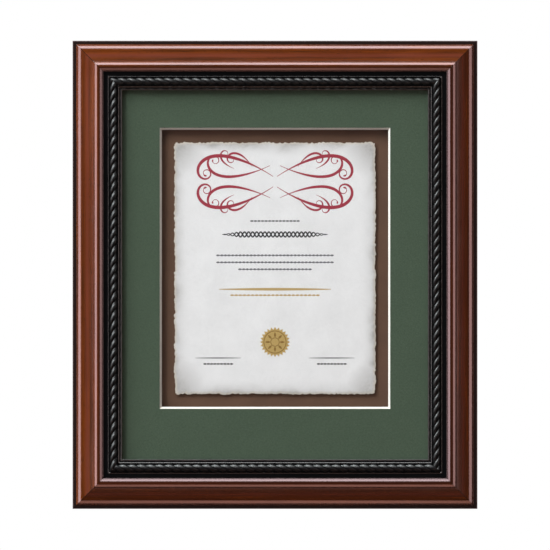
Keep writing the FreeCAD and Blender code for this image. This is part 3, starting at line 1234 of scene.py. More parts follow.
@dataclass
class Moulding:
    """The four mahogany rails: black edge, bead, scoop, ridge, inner slope and lip.

    A row of the section has its width, its rise and its bulge as a share of its chord.
    """

    layout: Layout
    rows: tuple[tuple[float, float, float], ...] = (
        (0.0008, 0.0008, 0.207),
        (0.0029, 0.0003, 0.0),
        (0.0003, 0.0, 0.0),
        (0.0049, 0.0029, 0.06),
        (0.0119, 0.0030, -0.016),
        (0.0038, 0.0025, 0.048),
        (0.0029, 0.0, 0.06),
        (0.0031, -0.0020, 0.04),
        (0.0004, -0.0004, 0.207),
    )
    side_height: float = 0.0122
    lip_height: float = 0.0168
    lip_cover: float = 0.005
    arc_steps: int = 10
    rounding: float = 0.00016

    @property
    def front_width(self) -> float:
        """Width of the wood seen from the front."""
        return sum(width for width, _, _ in self.rows)

    def outline(self) -> list[Vector]:
        """The moulding's section.

        Returns:
            Its corners as distance in from the outer edge and height above the back.
        """
        spot = Vector((0, self.side_height))
        points = [Vector((0, 0)), spot]
        for width, rise, bulge in self.rows:
            after = spot + Vector((width, rise))
            points += bowed(spot, after, bulge, self.arc_steps)
            spot = after
        body = self.front_width - self.lip_cover
        points += [Vector((spot.x, self.lip_height)), Vector((body, self.lip_height)), Vector((body, 0))]
        return points

    def build(self, side: Side) -> Piece:
        """Model the rail of one side."""
        return member(self.layout, f"{side.label}_moulding", self.outline(), side, self.rounding)

    def dress(self, piece: Piece, side: Side) -> None:
        """Finish the rail of one side."""
        material = Mahogany(self.layout).material(side)
        finished(piece, material, replaces=[f"{side.label}_rail"])


def member(layout: Layout, name: str, outline: Sequence[Vector], side: Side, rounding: float) -> Piece:
    """A mitred member with one section, carried to its side.

    Args:
        layout: The frame's layout.
        name: The piece's name.
        outline: The section as distance in and height above the back.
        side: The side it goes to.
        rounding: Width of the softened edges.

    Returns:
        The piece.
    """
    length = layout.member_length(side)
    points = [Vector((-length / 2, layout.back - height, across)) for across, height in outline]
    piece = outlined(name, points)
    extruded(piece, Vector((length, 0, 0)))
    mitred(piece, length)
    softened(piece, rounding, angle=MEMBER_ANGLE)
    smoothed(piece, MEMBER_ANGLE)
    modified(piece, "WEIGHTED_NORMAL", keep_sharp=True, weight=FLAT_WEIGHT)
    layout.carry(piece, side)
    return piece


@dataclass
class Slip:
    """The four black slips: channel, two fillets beside the rope seat, quirk and sight bead."""

    layout: Layout
    moulding: Moulding
    floor: float = 0.0168
    channel: float = 0.0044
    fillet: float = 0.0014
    fillet_rise: float = 0.00085
    fillet_side: float = 0.00045
    fillet_slope: float = 0.00055
    seat: float = 0.0086
    quirk: float = 0.0016
    quirk_depth: float = 0.0009
    bead: float = 0.0013
    bead_drop: float = 0.00035
    bead_bulge: float = 0.3
    bead_steps: int = 6
    lip: float = 0.0034
    overlap: float = 0.0059
    rounding: float = 0.00012

    @property
    def seat_start(self) -> float:
        """Distance in to the rope's seat."""
        return self.moulding.front_width + self.channel + self.fillet

    def outline(self) -> list[Vector]:
        """The slip's section.

        Returns:
            Its corners as distance in from the outer edge and height above the back.
        """
        body = self.moulding.front_width - self.moulding.lip_cover
        outer = self.seat_start - self.fillet
        inner = self.seat_start + self.seat
        quirk = inner + self.fillet
        bead = quirk + self.quirk
        sight = bead + self.bead
        top = self.floor + self.fillet_rise
        side = self.floor + self.fillet_side
        low = self.floor - self.quirk_depth
        rows = [(body, 0), (body, self.floor)]
        for near, far, end in ((outer, self.seat_start, self.floor), (inner, quirk, low)):
            rows += [(near, self.floor), (near, side), (near + self.fillet_slope, top)]
            rows += [(far - self.fillet_slope, top), (far, side), (far, end)]
        rows.append((bead, low))
        points = [Vector(row) for row in rows]
        rim = Vector((sight, low - self.bead_drop))
        points += bowed(points[-1], rim, self.bead_bulge, self.bead_steps)
        rabbet = self.floor - self.lip
        wall = sight - self.overlap
        points += [Vector((sight, rabbet)), Vector((wall, rabbet)), Vector((wall, 0))]
        return points

    def build(self, side: Side) -> Piece:
        """Model the slip of one side."""
        return member(self.layout, f"{side.label}_black_slip", self.outline(), side, self.rounding)

    def dress(self, piece: Piece, side: Side) -> None:
        """Finish the slip of one side."""
        finish = BlackPaint(self.layout, "slip_black", roughness=0.17, specular=0.6, brush_relief=0.03)
        finished(piece, finish.material(side), replaces=[f"{side.label}_slip"])


@dataclass
class RopeBead:
    """Four mitred lengths of twisted two-strand rope, laid in the slips' seats."""

    layout: Layout
    slip: Slip
    radius: float = 0.0039
    gap: float = 0.0004
    side_height: float = 0.0007
    lobe_spacing: float = 0.0093
    strands: int = 2
    strand_faces: int = 22
    lobe_steps: int = 16
    groove: float = 0.52
    roundness: float = 0.8
    crest: float = 0.42
    second_groove: float = 0.74
    second_width: float = 0.1
    second_depth: float = 0.05

    def strand_reach(self, share: float) -> float:
        """How far a strand stands out at a share of the way across it.

        Args:
            share: From one groove (0) to the next (1).

        Returns:
            The reach as a share of the rope's radius.
        """
        skew = math.log(0.5) / math.log(self.crest)
        swell = math.sin(math.pi * share**skew) ** self.roundness
        cut = max(0.0, 1 - abs(share - self.second_groove) / self.second_width)
        return self.groove + (1 - self.groove) * swell - self.second_depth * cut

    def build(self, side: Side) -> Piece:
        """Model the rope of one side.

        Args:
            side: The side of the frame.

        Returns:
            The rope, carried to its side.
        """
        length = self.layout.member_length(side)
        clear = length - 2 * self.slip.moulding.front_width
        lobes = round(clear / self.lobe_spacing)
        spacing = clear / lobes
        run = (lobes + 2) * spacing
        turns = run / (self.strands * spacing)
        steps = (lobes + 2) * self.lobe_steps
        rope = started(
            f"{side.label}_rope",
            bpy.ops.mesh.primitive_circle_add,
            vertices=self.strands * self.strand_faces,
            radius=self.radius,
            rotation=(0, math.pi / 2, 0),
        )
        applied(rope)
        for step in range(self.strand_faces):
            with editing(rope, "VERT") as mesh:
                for vertex in mesh.verts:
                    vertex.select = self.step_of(vertex.co) == step
                reach = self.strand_reach(step / self.strand_faces)
                bpy.ops.transform.resize(value=(1, reach, reach), center_override=(0, 0, 0))
        modified(
            rope,
            "SCREW",
            axis="X",
            angle=2 * math.pi * turns,
            screw_offset=run,
            steps=steps,
            render_steps=steps,
            use_merge_vertices=False,
        )
        seat = self.layout.back - self.slip.floor
        middle = self.slip.seat_start + self.gap + self.radius
        # At the side's middle a groove faces the front when the lobes are even in number, else a lobe.
        start_turn = math.pi - math.pi * turns + (lobes % 2) * math.pi / self.strands
        rope.rotation_euler = (start_turn, 0, 0)
        rope.location = (-run / 2, seat - self.side_height, middle)
        applied(rope)
        trimmed(rope, (0, seat, 0), (0, 1, 0))
        mitred(rope, length)
        smoothed(rope, angle=60.0)
        self.layout.carry(rope, side)
        return rope

    def step_of(self, spot: Vector) -> int:
        """Which step across its strand a point of the section circle is on.

        Args:
            spot: The point.

        Returns:
            The step, counted from the groove.
        """
        strand = 2 * math.pi / self.strands
        turn = math.atan2(spot.z, spot.y) % strand
        return round(turn / strand * self.strand_faces) % self.strand_faces

    def dress(self, piece: Piece, side: Side) -> None:
        """Finish the rope of one side."""
        finish = BlackPaint(self.layout, "rope_black", roughness=0.4, specular=0.3, brush_relief=0.05)
        finished(piece, finish.material(side), replaces=[f"{side.label}_rope_bead"])


# What the frame holds


@dataclass
class Package:
    """Glazing, mat, spacers and boards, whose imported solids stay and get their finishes."""

    layout: Layout

    def dress(self) -> None:
        """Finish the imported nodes."""
        mat_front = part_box("mat_board")[0].y
        dressed("glazing", Glazing().material())
        dressed("mat_board", MatPaper(self.layout, mat_front).material())
        brown = BoardPaper("brown_board_paper", paint(112, 84, 67), paint(96, 71, 56), clouding=0.5)
        dressed("mount_board", brown.material())
        foam = BoardPaper("white_foam_board", paint(238, 236, 230), paint(220, 217, 210), clouding=0.4)
        material = foam.material()
        for node in [f"{side.label}_spacer" for side in Side] + ["certificate_riser"]:
            dressed(node, material)
        light, dark = paint(150, 118, 82), paint(118, 88, 58)
        fibre = BoardPaper("backing_fibreboard", light, dark, clouding=0.35, flecking=0.5)
        dressed("backing_board", fibre.material())


@dataclass
class Certificate:
    """The floated sheet with torn edges, and its print."""

    layout: Layout
    corner_radius: float = 0.0032
    tear_depth: float = 0.0017
    tear_mean: float = 0.5
    tear_waves: tuple[tuple[float, float], ...] = ((120, 0.4), (340, 0.7), (760, 0.5))
    tear_seed: float = 3.3
    point_step: float = 0.0007
    rim_width: float = 0.0026
    rim_drop: float = 0.00022
    thickness: float = 0.0003

    def edge_points(self) -> list[Vector]:
        """The torn outline about the sheet's centre.

        Returns:
            The points in order.
        """
        x = self.layout.sheet_half_width - self.corner_radius
        z = self.layout.sheet_half_height - self.corner_radius
        corners = [(x, -z), (x, z), (-x, z), (-x, -z)]
        bend_steps = round(math.pi / 2 * self.corner_radius / self.point_step)
        points: list[Vector] = []
        for quarter, corner in enumerate(corners):
            turn = quarter * math.pi / 2
            straight = 2 * (x if quarter % 2 else z)
            steps = round(straight / self.point_step)
            out = Vector((math.cos(turn), math.sin(turn)))
            along = Vector((-out.y, out.x))
            start = Vector(corner) + out * self.corner_radius
            for step in range(steps):
                spot = start + along * (straight * step / steps)
                points.append(spot - out * self.tear(spot))
            centre = Vector(corners[(quarter + 1) % 4])
            for step in range(bend_steps):
                bend = turn + math.pi / 2 * step / bend_steps
                ray = Vector((math.cos(bend), math.sin(bend)))
                spot = centre + ray * self.corner_radius
                points.append(spot - ray * self.tear(spot))
        return points

    def inner_points(self, outline: Sequence[Vector]) -> list[Vector]:
        """The straight inner edge of the thin rim.

        Args:
            outline: The torn outline about the sheet's centre.

        Returns:
            A point for each of the outline's.
        """
        width, height = self.layout.sheet_half_width, self.layout.sheet_half_height
        x, z = width - self.rim_width, height - self.rim_width
        points = []
        for spot in outline:
            across, up = spot.x * x / width, spot.y * z / height
            points.append(Vector((max(-x, min(x, across)), max(-z, min(z, up)))))
        return points

    def tear(self, spot: Vector) -> float:
        """How far the paper is torn back at a point of its edge.

        Args:
            spot: The point across and up from the sheet's centre.

        Returns:
            The distance.
        """
        depth = self.tear_mean
        for frequency, share in self.tear_waves:
            place = Vector((spot.x * frequency, spot.y * frequency, self.tear_seed))
            depth += share * noise.noise(place)
        return self.tear_depth * min(1.0, max(0.0, depth))

    def build(self) -> Piece:
        """Model the sheet with a thin, warm rim along its tears.

        Returns:
            The sheet.
        """
        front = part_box("certificate_sheet")[0].y
        middle = self.layout.window_middle
        outline = self.edge_points()
        inner = self.inner_points(outline)
        rings = []
        for index, (ring, depth) in enumerate(((outline, front + self.rim_drop), (inner, front))):
            piece = started(f"sheet_ring_{index}", bpy.ops.mesh.primitive_circle_add, vertices=len(ring))
            with editing(piece, "VERT") as mesh:
                for vertex, spot in zip(mesh.verts, ring):
                    vertex.co = Vector((spot.x, depth, middle + spot.y))
            rings.append(piece)
        sheet = joined(rings, "torn_certificate_sheet")
        rim = sheet.data.attributes.new("torn_rim", "FLOAT", "POINT")
        for index in range(len(outline)):
            rim.data[index].value = 1.0
        with editing(sheet, "EDGE"):
            select_whole()
            bpy.ops.mesh.bridge_edge_loops()
        with editing(sheet, "EDGE") as mesh:
            for edge in mesh.edges:
                edge.select = all(vertex.index >= len(outline) for vertex in edge.verts)
            bpy.ops.mesh.edge_face_add()
            turn_outwards()
        modified(sheet, "SOLIDIFY", thickness=self.thickness, offset=-1.0)
        smoothed(sheet, angle=40.0)
        # The rim is shaded smooth, the sheet's flat front and back are not.
        for face in sheet.data.polygons:
            face.use_smooth = len(face.vertices) <= 4
        return sheet

    def dress(self, sheet: Piece) -> None:
        """Finish the sheet."""
        material = Parchment(self.layout).material()
        finished(sheet, material, replaces=["certificate_sheet"])


@dataclass(frozen=True)
class Stroke:
    """One pen stroke that bends more and more along its length and swells in its middle.

    Its start is measured from the middle of the sheet, its heading in degrees from the right, and
    its bends in turns of the heading per metre, counter-clockwise, in radians.
    """

    x: float
    z: float
    heading: float
    length: float
    bend: float
    curl: float
    width: float
    growth: float = 4.0
    thin: float = 0.16
    swell_power: float = 1.6
    knob: float = 0.55
    knob_place: float = 0.985
    knob_length: float = 0.013
    steps: int = 150

    def points(self) -> list[Vector]:
        """The stroke's centre line.

        Returns:
            Its points across and up the sheet.
        """
        spot, heading = Vector((self.x, self.z)), math.radians(self.heading)
        stride = self.length / self.steps
        points = [spot]
        for step in range(self.steps):
            share = (step + 0.5) / self.steps
            heading += stride * (self.bend + (self.curl - self.bend) * share**self.growth)
            spot = spot + Vector((math.cos(heading), math.sin(heading))) * stride
            points.append(spot)
        return points

    def radii(self) -> list[float]:
        """The stroke's swelling.

        Returns:
            Half of its width at each of its points.
        """
        radii = []
        for step in range(self.steps + 1):
            share = step / self.steps
            swell = self.thin + (1 - self.thin) * math.sin(math.pi * share) ** self.swell_power
            knob = self.knob * math.exp(-(((share - self.knob_place) / self.knob_length) ** 2))
            radii.append(self.width / 2 * max(swell, knob))
        return radii


@dataclass(frozen=True)
class Rule:
    """One printed rule, plain or beaded, its middle measured from the middle of the sheet."""

    ink: str
    x: float
    z: float
    length: float
    width: float
    beads: int = 0
    end_share: float = 0.25
    swell_power: float = 0.8
    waist_share: float = 0.3
    plain_steps: int = 24
    bead_steps: int = 6

    def wire(self, name: str) -> Piece:
        """The rule as a wire that thins towards its ends or between its beads.

        Args:
            name: The wire's name.

        Returns:
            The wire.
        """
        steps = self.beads * self.bead_steps or self.plain_steps
        points, radii = [], []
        for step in range(steps + 1):
            share = step / steps
            points.append(Vector((self.x + (share - 0.5) * self.length, 0, self.z)))
            if self.beads:
                least, swell = self.waist_share, abs(math.sin(math.pi * self.beads * share))
            else:
                least, swell = self.end_share, math.sin(math.pi * share) ** self.swell_power
            radii.append(self.width / 2 * (least + (1 - least) * swell))
        return stroked(name, points, radii, roundness=2)


@dataclass(frozen=True)
class Braid:
    """Two printed waves that cross each other, its middle measured from the middle of the sheet."""

    z: float
    length: float
    reach: float
    width: float
    waves: int
    end_share: float = 0.35
    easing: float = 6.0
    wave_steps: int = 14

    def wires(self, name: str) -> list[Piece]:
        """The two waves as wires that flatten and thin towards their ends.

        Args:
            name: The start of the wires' names.

        Returns:
            The wires.
        """
        steps = self.waves * self.wave_steps
        wires = []
        for sign in (1, -1):
            points, radii = [], []
            for step in range(steps + 1):
                share = step / steps
                ease = min(1.0, self.easing * share, self.easing * (1 - share))
                swing = sign * self.reach * ease * math.sin(2 * math.pi * self.waves * share)
                points.append(Vector(((share - 0.5) * self.length, 0, self.z + swing)))
                radii.append(self.width / 2 * (self.end_share + (1 - self.end_share) * ease))
            wires.append(stroked(f"{name}_{sign + 1}", points, radii, roundness=2))
        return wires


@dataclass
class SheetPrint:
    """A generic print: a crimson scroll, a braid, rules and a gold star seal, with no lettering."""

    layout: Layout
    relief: float = 0.00003
    scroll_height: float = 0.087
    scroll_gap: float = 0.0122
    scroll: tuple[Stroke, ...] = (
        Stroke(0.0020, -0.0070, 34.0, 0.125, -6.4, -380.0, 0.0035),
        Stroke(0.0050, 0.0040, -26.0, 0.100, 7.6, 410.0, 0.0029),
        Stroke(0.0230, 0.0030, 56.0, 0.046, -18.0, -480.0, 0.0022, 2.5),
        Stroke(0.0410, 0.0010, 20.0, 0.034, 26.0, 500.0, 0.0019, 2.5),
    )
    braid: Braid = Braid(0.034, 0.106, 0.0025, 0.0015, 13)
    rules: tuple[Rule, ...] = (
        Rule("grey", 0.0, 0.0475, 0.050, 0.0018, 14),
        Rule("grey", 0.0, 0.013, 0.118, 0.0019, 32),
        Rule("grey", 0.0, 0.006, 0.118, 0.0019, 32),
        Rule("grey", 0.0, -0.001, 0.074, 0.0019, 20),
        Rule("gold", 0.0, -0.021, 0.112, 0.0026),
        Rule("gold", 0.0, -0.027, 0.090, 0.0018, 22),
        Rule("grey", -0.057, -0.090, 0.046, 0.0012),
        Rule("grey", 0.057, -0.090, 0.046, 0.0012),
        Rule("dark", -0.057, -0.096, 0.030, 0.0018, 9),
        Rule("dark", 0.057, -0.096, 0.030, 0.0018, 9),
    )
    seal_height: float = -0.074
    seal_radius: float = 0.0152
    seal_notch: float = 0.0027
    seal_points: int = 24
    seal_thickness: float = 0.00012
    seal_rings: tuple[tuple[float, float], ...] = ((0.0111, 0.0008), (0.0042, 0.0007))
    ring_steps: int = 72
    ring_relief: float = 0.00006
    petals: int = 8
    petal_start: float = 0.0046
    petal_length: float = 0.0052
    petal_radius: float = 0.00105
    petal_end: float = 0.12
    petal_steps: int = 12
    petal_relief: float = 0.00009

    def pressed(self, wire: Piece, thickest: float, relief: float, front: float) -> Piece:
        """Flatten a wire on a front face and carry it to the sheet's middle.

        Args:
            wire: The wire.
            thickest: Its largest radius.
            relief: How far it stands out when flat.
            front: Y of the face.

        Returns:
            The wire.
        """
        wire.scale = (1, relief / thickest, 1)
        settle(wire, (0, front, self.layout.window_middle))
        smoothed(wire, angle=50.0)
        return wire

    def stroke(self, stroke: Stroke, across: int, up: int, name: str, front: float) -> Piece:
        """One printed stroke, which may be mirrored.

        Args:
            stroke: The stroke.
            across: 1, or -1 to mirror it to the left.
            up: 1, or -1 to mirror it to the lower half.
            name: The piece's name.
            front: Y of the sheet's front face.

        Returns:
            The stroke's piece.
        """
        points = [
            Vector((across * spot.x, 0, self.scroll_height + up * (self.scroll_gap + spot.y)))
            for spot in stroke.points()
        ]
        radii = stroke.radii()
        return self.pressed(stroked(name, points, radii), max(radii), self.relief, front)

    def star(self, front: float) -> Piece:
        """The seal's foil star.

        Args:
            front: Y of the sheet's front face.

        Returns:
            The star.
        """
        outline = []
        for index in range(2 * self.seal_points):
            turn = math.pi * index / self.seal_points
            reach = self.seal_radius - (index % 2) * self.seal_notch
            outline.append(Vector((reach * math.cos(turn), 0, reach * math.sin(turn))))
        star = outlined("foil_star", outline)
        extruded(star, Vector((0, -self.seal_thickness, 0)))
        settle(star, (0, front, self.layout.window_middle + self.seal_height))
        return star

    def rosette(self, front: float) -> Piece:
        """The darker rings and petals pressed into the star.

        Args:
            front: Y of the star's front face.

        Returns:
            The rings and petals as one piece.
        """
        parts = []
        for radius, width in self.seal_rings:
            around = arc(radius, 0, 2 * math.pi, self.ring_steps)[:-1]
            ring = [Vector((spot.x, 0, spot.y + self.seal_height)) for spot in around]
            wire = stroked("foil_ring", ring, [width / 2] * len(ring), closed=True, roundness=2)
            parts.append(self.pressed(wire, width / 2, self.ring_relief, front))
        middle = Vector((0, 0, self.seal_height))
        shares = [step / self.petal_steps for step in range(self.petal_steps + 1)]
        least, radius = self.petal_end, self.petal_radius
        radii = [radius * (least + (1 - least) * math.sin(math.pi * share)) for share in shares]
        for index in range(self.petals):
            turn = 2 * math.pi * index / self.petals
            out = Vector((math.cos(turn), 0, math.sin(turn)))
            points = [out * (self.petal_start + self.petal_length * share) + middle for share in shares]
            wire = stroked("foil_petal", points, radii)
            parts.append(self.pressed(wire, radius, self.petal_relief, front))
        return joined(parts, "foil_rosette")

    def build(self) -> None:
        """Print the scroll, the rules and the seal on the sheet and finish them."""
        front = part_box("certificate_sheet")[0].y
        inks = {
            "crimson": Ink("crimson_ink", paint(158, 24, 48), paint(190, 92, 108)),
            "dark": Ink("dark_ink", paint(38, 38, 42), paint(92, 92, 96)),
            "grey": Ink("grey_ink", paint(96, 96, 100), paint(140, 140, 143)),
            "gold": Ink("gold_ink", paint(192, 160, 96), paint(212, 190, 142)),
        }
        materials = {label: ink.material() for label, ink in inks.items()}
        strokes = [
            self.stroke(stroke, across, up, f"scroll_stroke_{index}", front)
            for index, stroke in enumerate(self.scroll)
            for across in (1, -1)
            for up in (1, -1)
        ]
        finished(joined(strokes, "crimson_scroll"), materials["crimson"])
        for label in ("dark", "grey", "gold"):
            wires = [
                self.pressed(rule.wire(f"{label}_rule_{index}"), rule.width / 2, self.relief, front)
                for index, rule in enumerate(self.rules)
                if rule.ink == label
            ]
            if label == "dark":
                for wire in self.braid.wires("braid_wave"):
                    wires.append(self.pressed(wire, self.braid.width / 2, self.relief, front))
            finished(joined(wires, f"{label}_rules"), materials[label])
        star, rosette = self.star(front), self.rosette(front - self.seal_thickness)
        gold = (paint(206, 172, 100), paint(226, 202, 148))
        bronze = (paint(150, 112, 50), paint(176, 142, 84))
        finished(star, Ink("gold_foil", *gold, roughness=0.4, metallic=0.2).material())
        finished(rosette, Ink("bronze_foil", *bronze, roughness=0.4, metallic=0.2).material())


# Hardware on the back


@dataclass
class Screws:
    """Round-edged screws with a cross recess, for the turn buttons and for the hangers."""

    layout: Layout
    head_radius: float = 0.0033
    head_height: float = 0.0016
    shank_radius: float = 0.0015
    shank_length: float = 0.010
    rim: float = 0.0007
    rim_steps: int = 5
    recess_turns: tuple[float, ...] = (45.0, 135.0)
    recess_width: float = 0.0009
    recess_reach: float = 0.0019
    recess_depth: float = 0.0011
    turn_step: float = 37.0

    def pattern(self, seat: float, shoulder: float) -> Piece:
        """One screw on the Y axis, the rail backs at Y zero.

        Args:
            seat: Height of the head's underside above the rail backs.
            shoulder: Radius of the neck under the head.

        Returns:
            The screw.
        """
        top = seat + self.head_height
        middle = (0, seat + self.head_height / 2, 0)
        screw = cylinder("screw_pattern", self.head_radius, self.head_height, middle)
        with editing(screw, "EDGE") as mesh:
            for edge in mesh.edges:
                edge.select = all(vertex.co.y > top - HAIR for vertex in edge.verts)
            bpy.ops.mesh.bevel(offset=self.rim, segments=self.rim_steps)
        with editing(screw) as mesh:
            for face in mesh.faces:
                face.select = face.normal.y < -SQUARE_ON
            bpy.ops.mesh.inset(thickness=self.head_radius - shoulder)
            pull((0, -seat, 0))
            bpy.ops.mesh.inset(thickness=shoulder - self.shank_radius)
            pull((0, -self.shank_length, 0))
        for turn in self.recess_turns:
            recess = started("recess", bpy.ops.mesh.primitive_cube_add, size=1.0)
            recess.scale = (2 * self.recess_reach, 2 * self.recess_depth, self.recess_width)
            settle(recess, (0, top, 0), math.radians(turn))
            combined(screw, recess)
        smoothed(screw, angle=35.0)
        return screw

    def build(self, name: str, places: Sequence[tuple[float, float]], seat: float, shoulder: float) -> Piece:
        """Screws at several places as one piece.

        Args:
            name: The piece's name.
            places: Each screw's X and Z.
            seat: Height of the heads' undersides above the rail backs.
            shoulder: Radius of the necks under the heads.

        Returns:
            The joined screws.
        """
        pattern = self.pattern(seat, shoulder)
        screws = []
        for index, (x, z) in enumerate(places):
            screw = copied(pattern, f"{name}_{index}")
            settle(screw, (x, self.layout.back, z), math.radians(self.turn_step * index))
            screws.append(screw)
        bpy.data.objects.remove(pattern)
        return joined(screws, name)

    def dress(self, piece: Piece, node: str) -> None:
        """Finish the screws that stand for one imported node."""
        plated = Metal("zinc_plated_screws", paint(206, 201, 184), paint(150, 140, 112), 0.26)
        finished(piece, plated.material(), replaces=[node])


@dataclass
class TurnButtons:
    """Stamped steel leaves that hold the backing, each with a round heel and a lifted tip."""

    layout: Layout
    heel_radius: float = 0.006
    tip_radius: float = 0.004
    reach: float = 0.020
    thickness: float = 0.001
    lift: float = 0.0001
    finger_length: float = 0.005
    finger_rise: float = 0.0012
    hole_radius: float = 0.00208
    rim: float = 0.0002
    end_steps: int = 16

    def build(self, name: str, place: tuple[float, float], turn: float) -> Piece:
        """Model one turn button.

        Args:
            name: The piece's name.
            place: X and Z of its screw.
            turn: Degrees about Y that point it at the backing.

        Returns:
            The button on its screw.
        """
        lean = math.asin((self.heel_radius - self.tip_radius) / self.reach)
        outline = arc(self.tip_radius, lean, math.pi - 2 * lean, self.end_steps, (0, self.reach))
        outline += arc(self.heel_radius, math.pi - lean, math.pi + 2 * lean, self.end_steps)
        button = outlined(name, [Vector((spot.x, 0, spot.y)) for spot in outline])
        bend = self.reach + self.tip_radius - self.finger_length
        with editing(button, "VERT") as mesh:
            select_whole()
            bpy.ops.mesh.bisect(plane_co=(0, 0, bend), plane_no=(0, 0, 1))
            for vertex in mesh.verts:
                vertex.select = vertex.co.z > bend + HAIR
            mesh.select_flush_mode()
            lifted = math.atan2(self.finger_rise, self.finger_length)
            bpy.ops.transform.rotate(value=lifted, orient_axis="X", center_override=(0, 0, bend))
        extruded(button, Vector((0, self.thickness, 0)))
        combined(button, cylinder("hole", self.hole_radius, 6 * self.thickness, (0, 0, 0)))
        softened(button, self.rim, angle=45.0)
        smoothed(button, angle=40.0)
        settle(button, (place[0], self.layout.back + self.lift, place[1]), math.radians(turn))
        return button

    def dress(self, piece: Piece, node: str) -> None:
        """Finish one turn button."""
        steel = Metal("bright_spring_steel", paint(190, 191, 194), paint(124, 121, 116), 0.3)
        finished(piece, steel.material(), body=node, replaces=[node])


@dataclass
class Hangers:
    """Folded straps and the wire D-rings that swing in them, made about the bar, strap to minus X."""

    layout: Layout
    metal: float = 0.0008
    slit: float = 0.00006
    wire: float = 0.0012
    clearance: float = 0.00008
    width: float = 0.014
    length: float = 0.027
    screw_radius: float = 0.0017
    rim: float = 0.00015
    wrap_steps: int = 36
    end_steps: int = 24
    half_height: float = 0.0095
    leg: float = 0.003
    corner: float = 0.002
    corner_steps: int = 5
    bow_steps: int = 32

    @property
    def bore(self) -> float:
        """Radius of the knuckle's bore."""
        return self.wire + self.clearance

    @property
    def knuckle(self) -> float:
        """Radius of the knuckle, which is also its height above the rail backs."""
        return self.bore + self.metal

    def fold(self) -> list[Vector]:
        """The strap's side view: out along the back, round the bar and back over itself.

        Returns:
            Its corners.
        """
        middle = (0, self.knuckle)
        flat = -self.length
        lower, upper = self.metal - self.slit, self.metal + self.slit
        meet = math.pi + math.asin((self.knuckle - 2 * self.metal) / self.knuckle)
        inside = math.pi + math.asin((self.knuckle - upper) / self.bore)
        points = [Vector((flat, 0))]
        points += arc(self.knuckle, -math.pi / 2, meet + math.pi / 2, self.wrap_steps, middle)
        points += [Vector((flat, 2 * self.metal)), Vector((flat, upper))]
        points += arc(self.bore, inside, -inside - math.pi / 2, self.wrap_steps, middle)
        points += [Vector((-self.bore / 4, lower)), Vector((flat, lower))]
        return points

    def strap(self, name: str, screws: Sequence[float]) -> Piece:
        """One strap with a round end and its screw holes.

        Args:
            name: The piece's name.
            screws: Distances of its screws from the bar.

        Returns:
            The strap.
        """
        strap = outlined(name, [Vector((spot.x, spot.y, -self.width / 2)) for spot in self.fold()])
        extruded(strap, Vector((0, 0, self.width)))
        end = self.width / 2 - self.length
        plan = arc(self.width / 2, math.pi / 2, math.pi, self.end_steps, (end, 0))
        plan += [Vector((self.width, -self.width / 2)), Vector((self.width, self.width / 2))]
        stencil = outlined("stencil", [Vector((spot.x, -self.width, spot.y)) for spot in plan])
        extruded(stencil, Vector((0, 2 * self.width, 0)))
        combined(strap, stencil, "INTERSECT")
        for place in screws:
            combined(strap, cylinder("hole", self.screw_radius, self.width, (-place, 0, 0)))
        softened(strap, self.rim, angle=50.0)
        smoothed(strap, angle=40.0)
        return strap

    def ring(self, name: str) -> Piece:
        """One D-ring, its bow towards plus X.

        Args:
            name: The piece's name.

        Returns:
            The ring.
        """
        top, corner = self.half_height, self.corner
        path = arc(corner, math.pi, -math.pi / 2, self.corner_steps, (corner, top - corner))
        path += arc(top, math.pi / 2, -math.pi, self.bow_steps, (self.leg, 0))
        path += arc(corner, -math.pi / 2, -math.pi / 2, self.corner_steps, (corner, corner - top))
        points = [Vector((spot.x, self.knuckle, spot.y)) for spot in path]
        ring = stroked(name, points, [self.wire] * len(points), closed=True, roundness=6)
        smoothed(ring, angle=60.0)
        return ring

    def place(self, piece: Piece, sign: int, bar: tuple[float, float]) -> None:
        """Carry a piece to the left (minus) or right (plus) side rail."""
        settle(piece, (sign * bar[0], self.layout.back, bar[1]), math.pi if sign > 0 else 0.0)


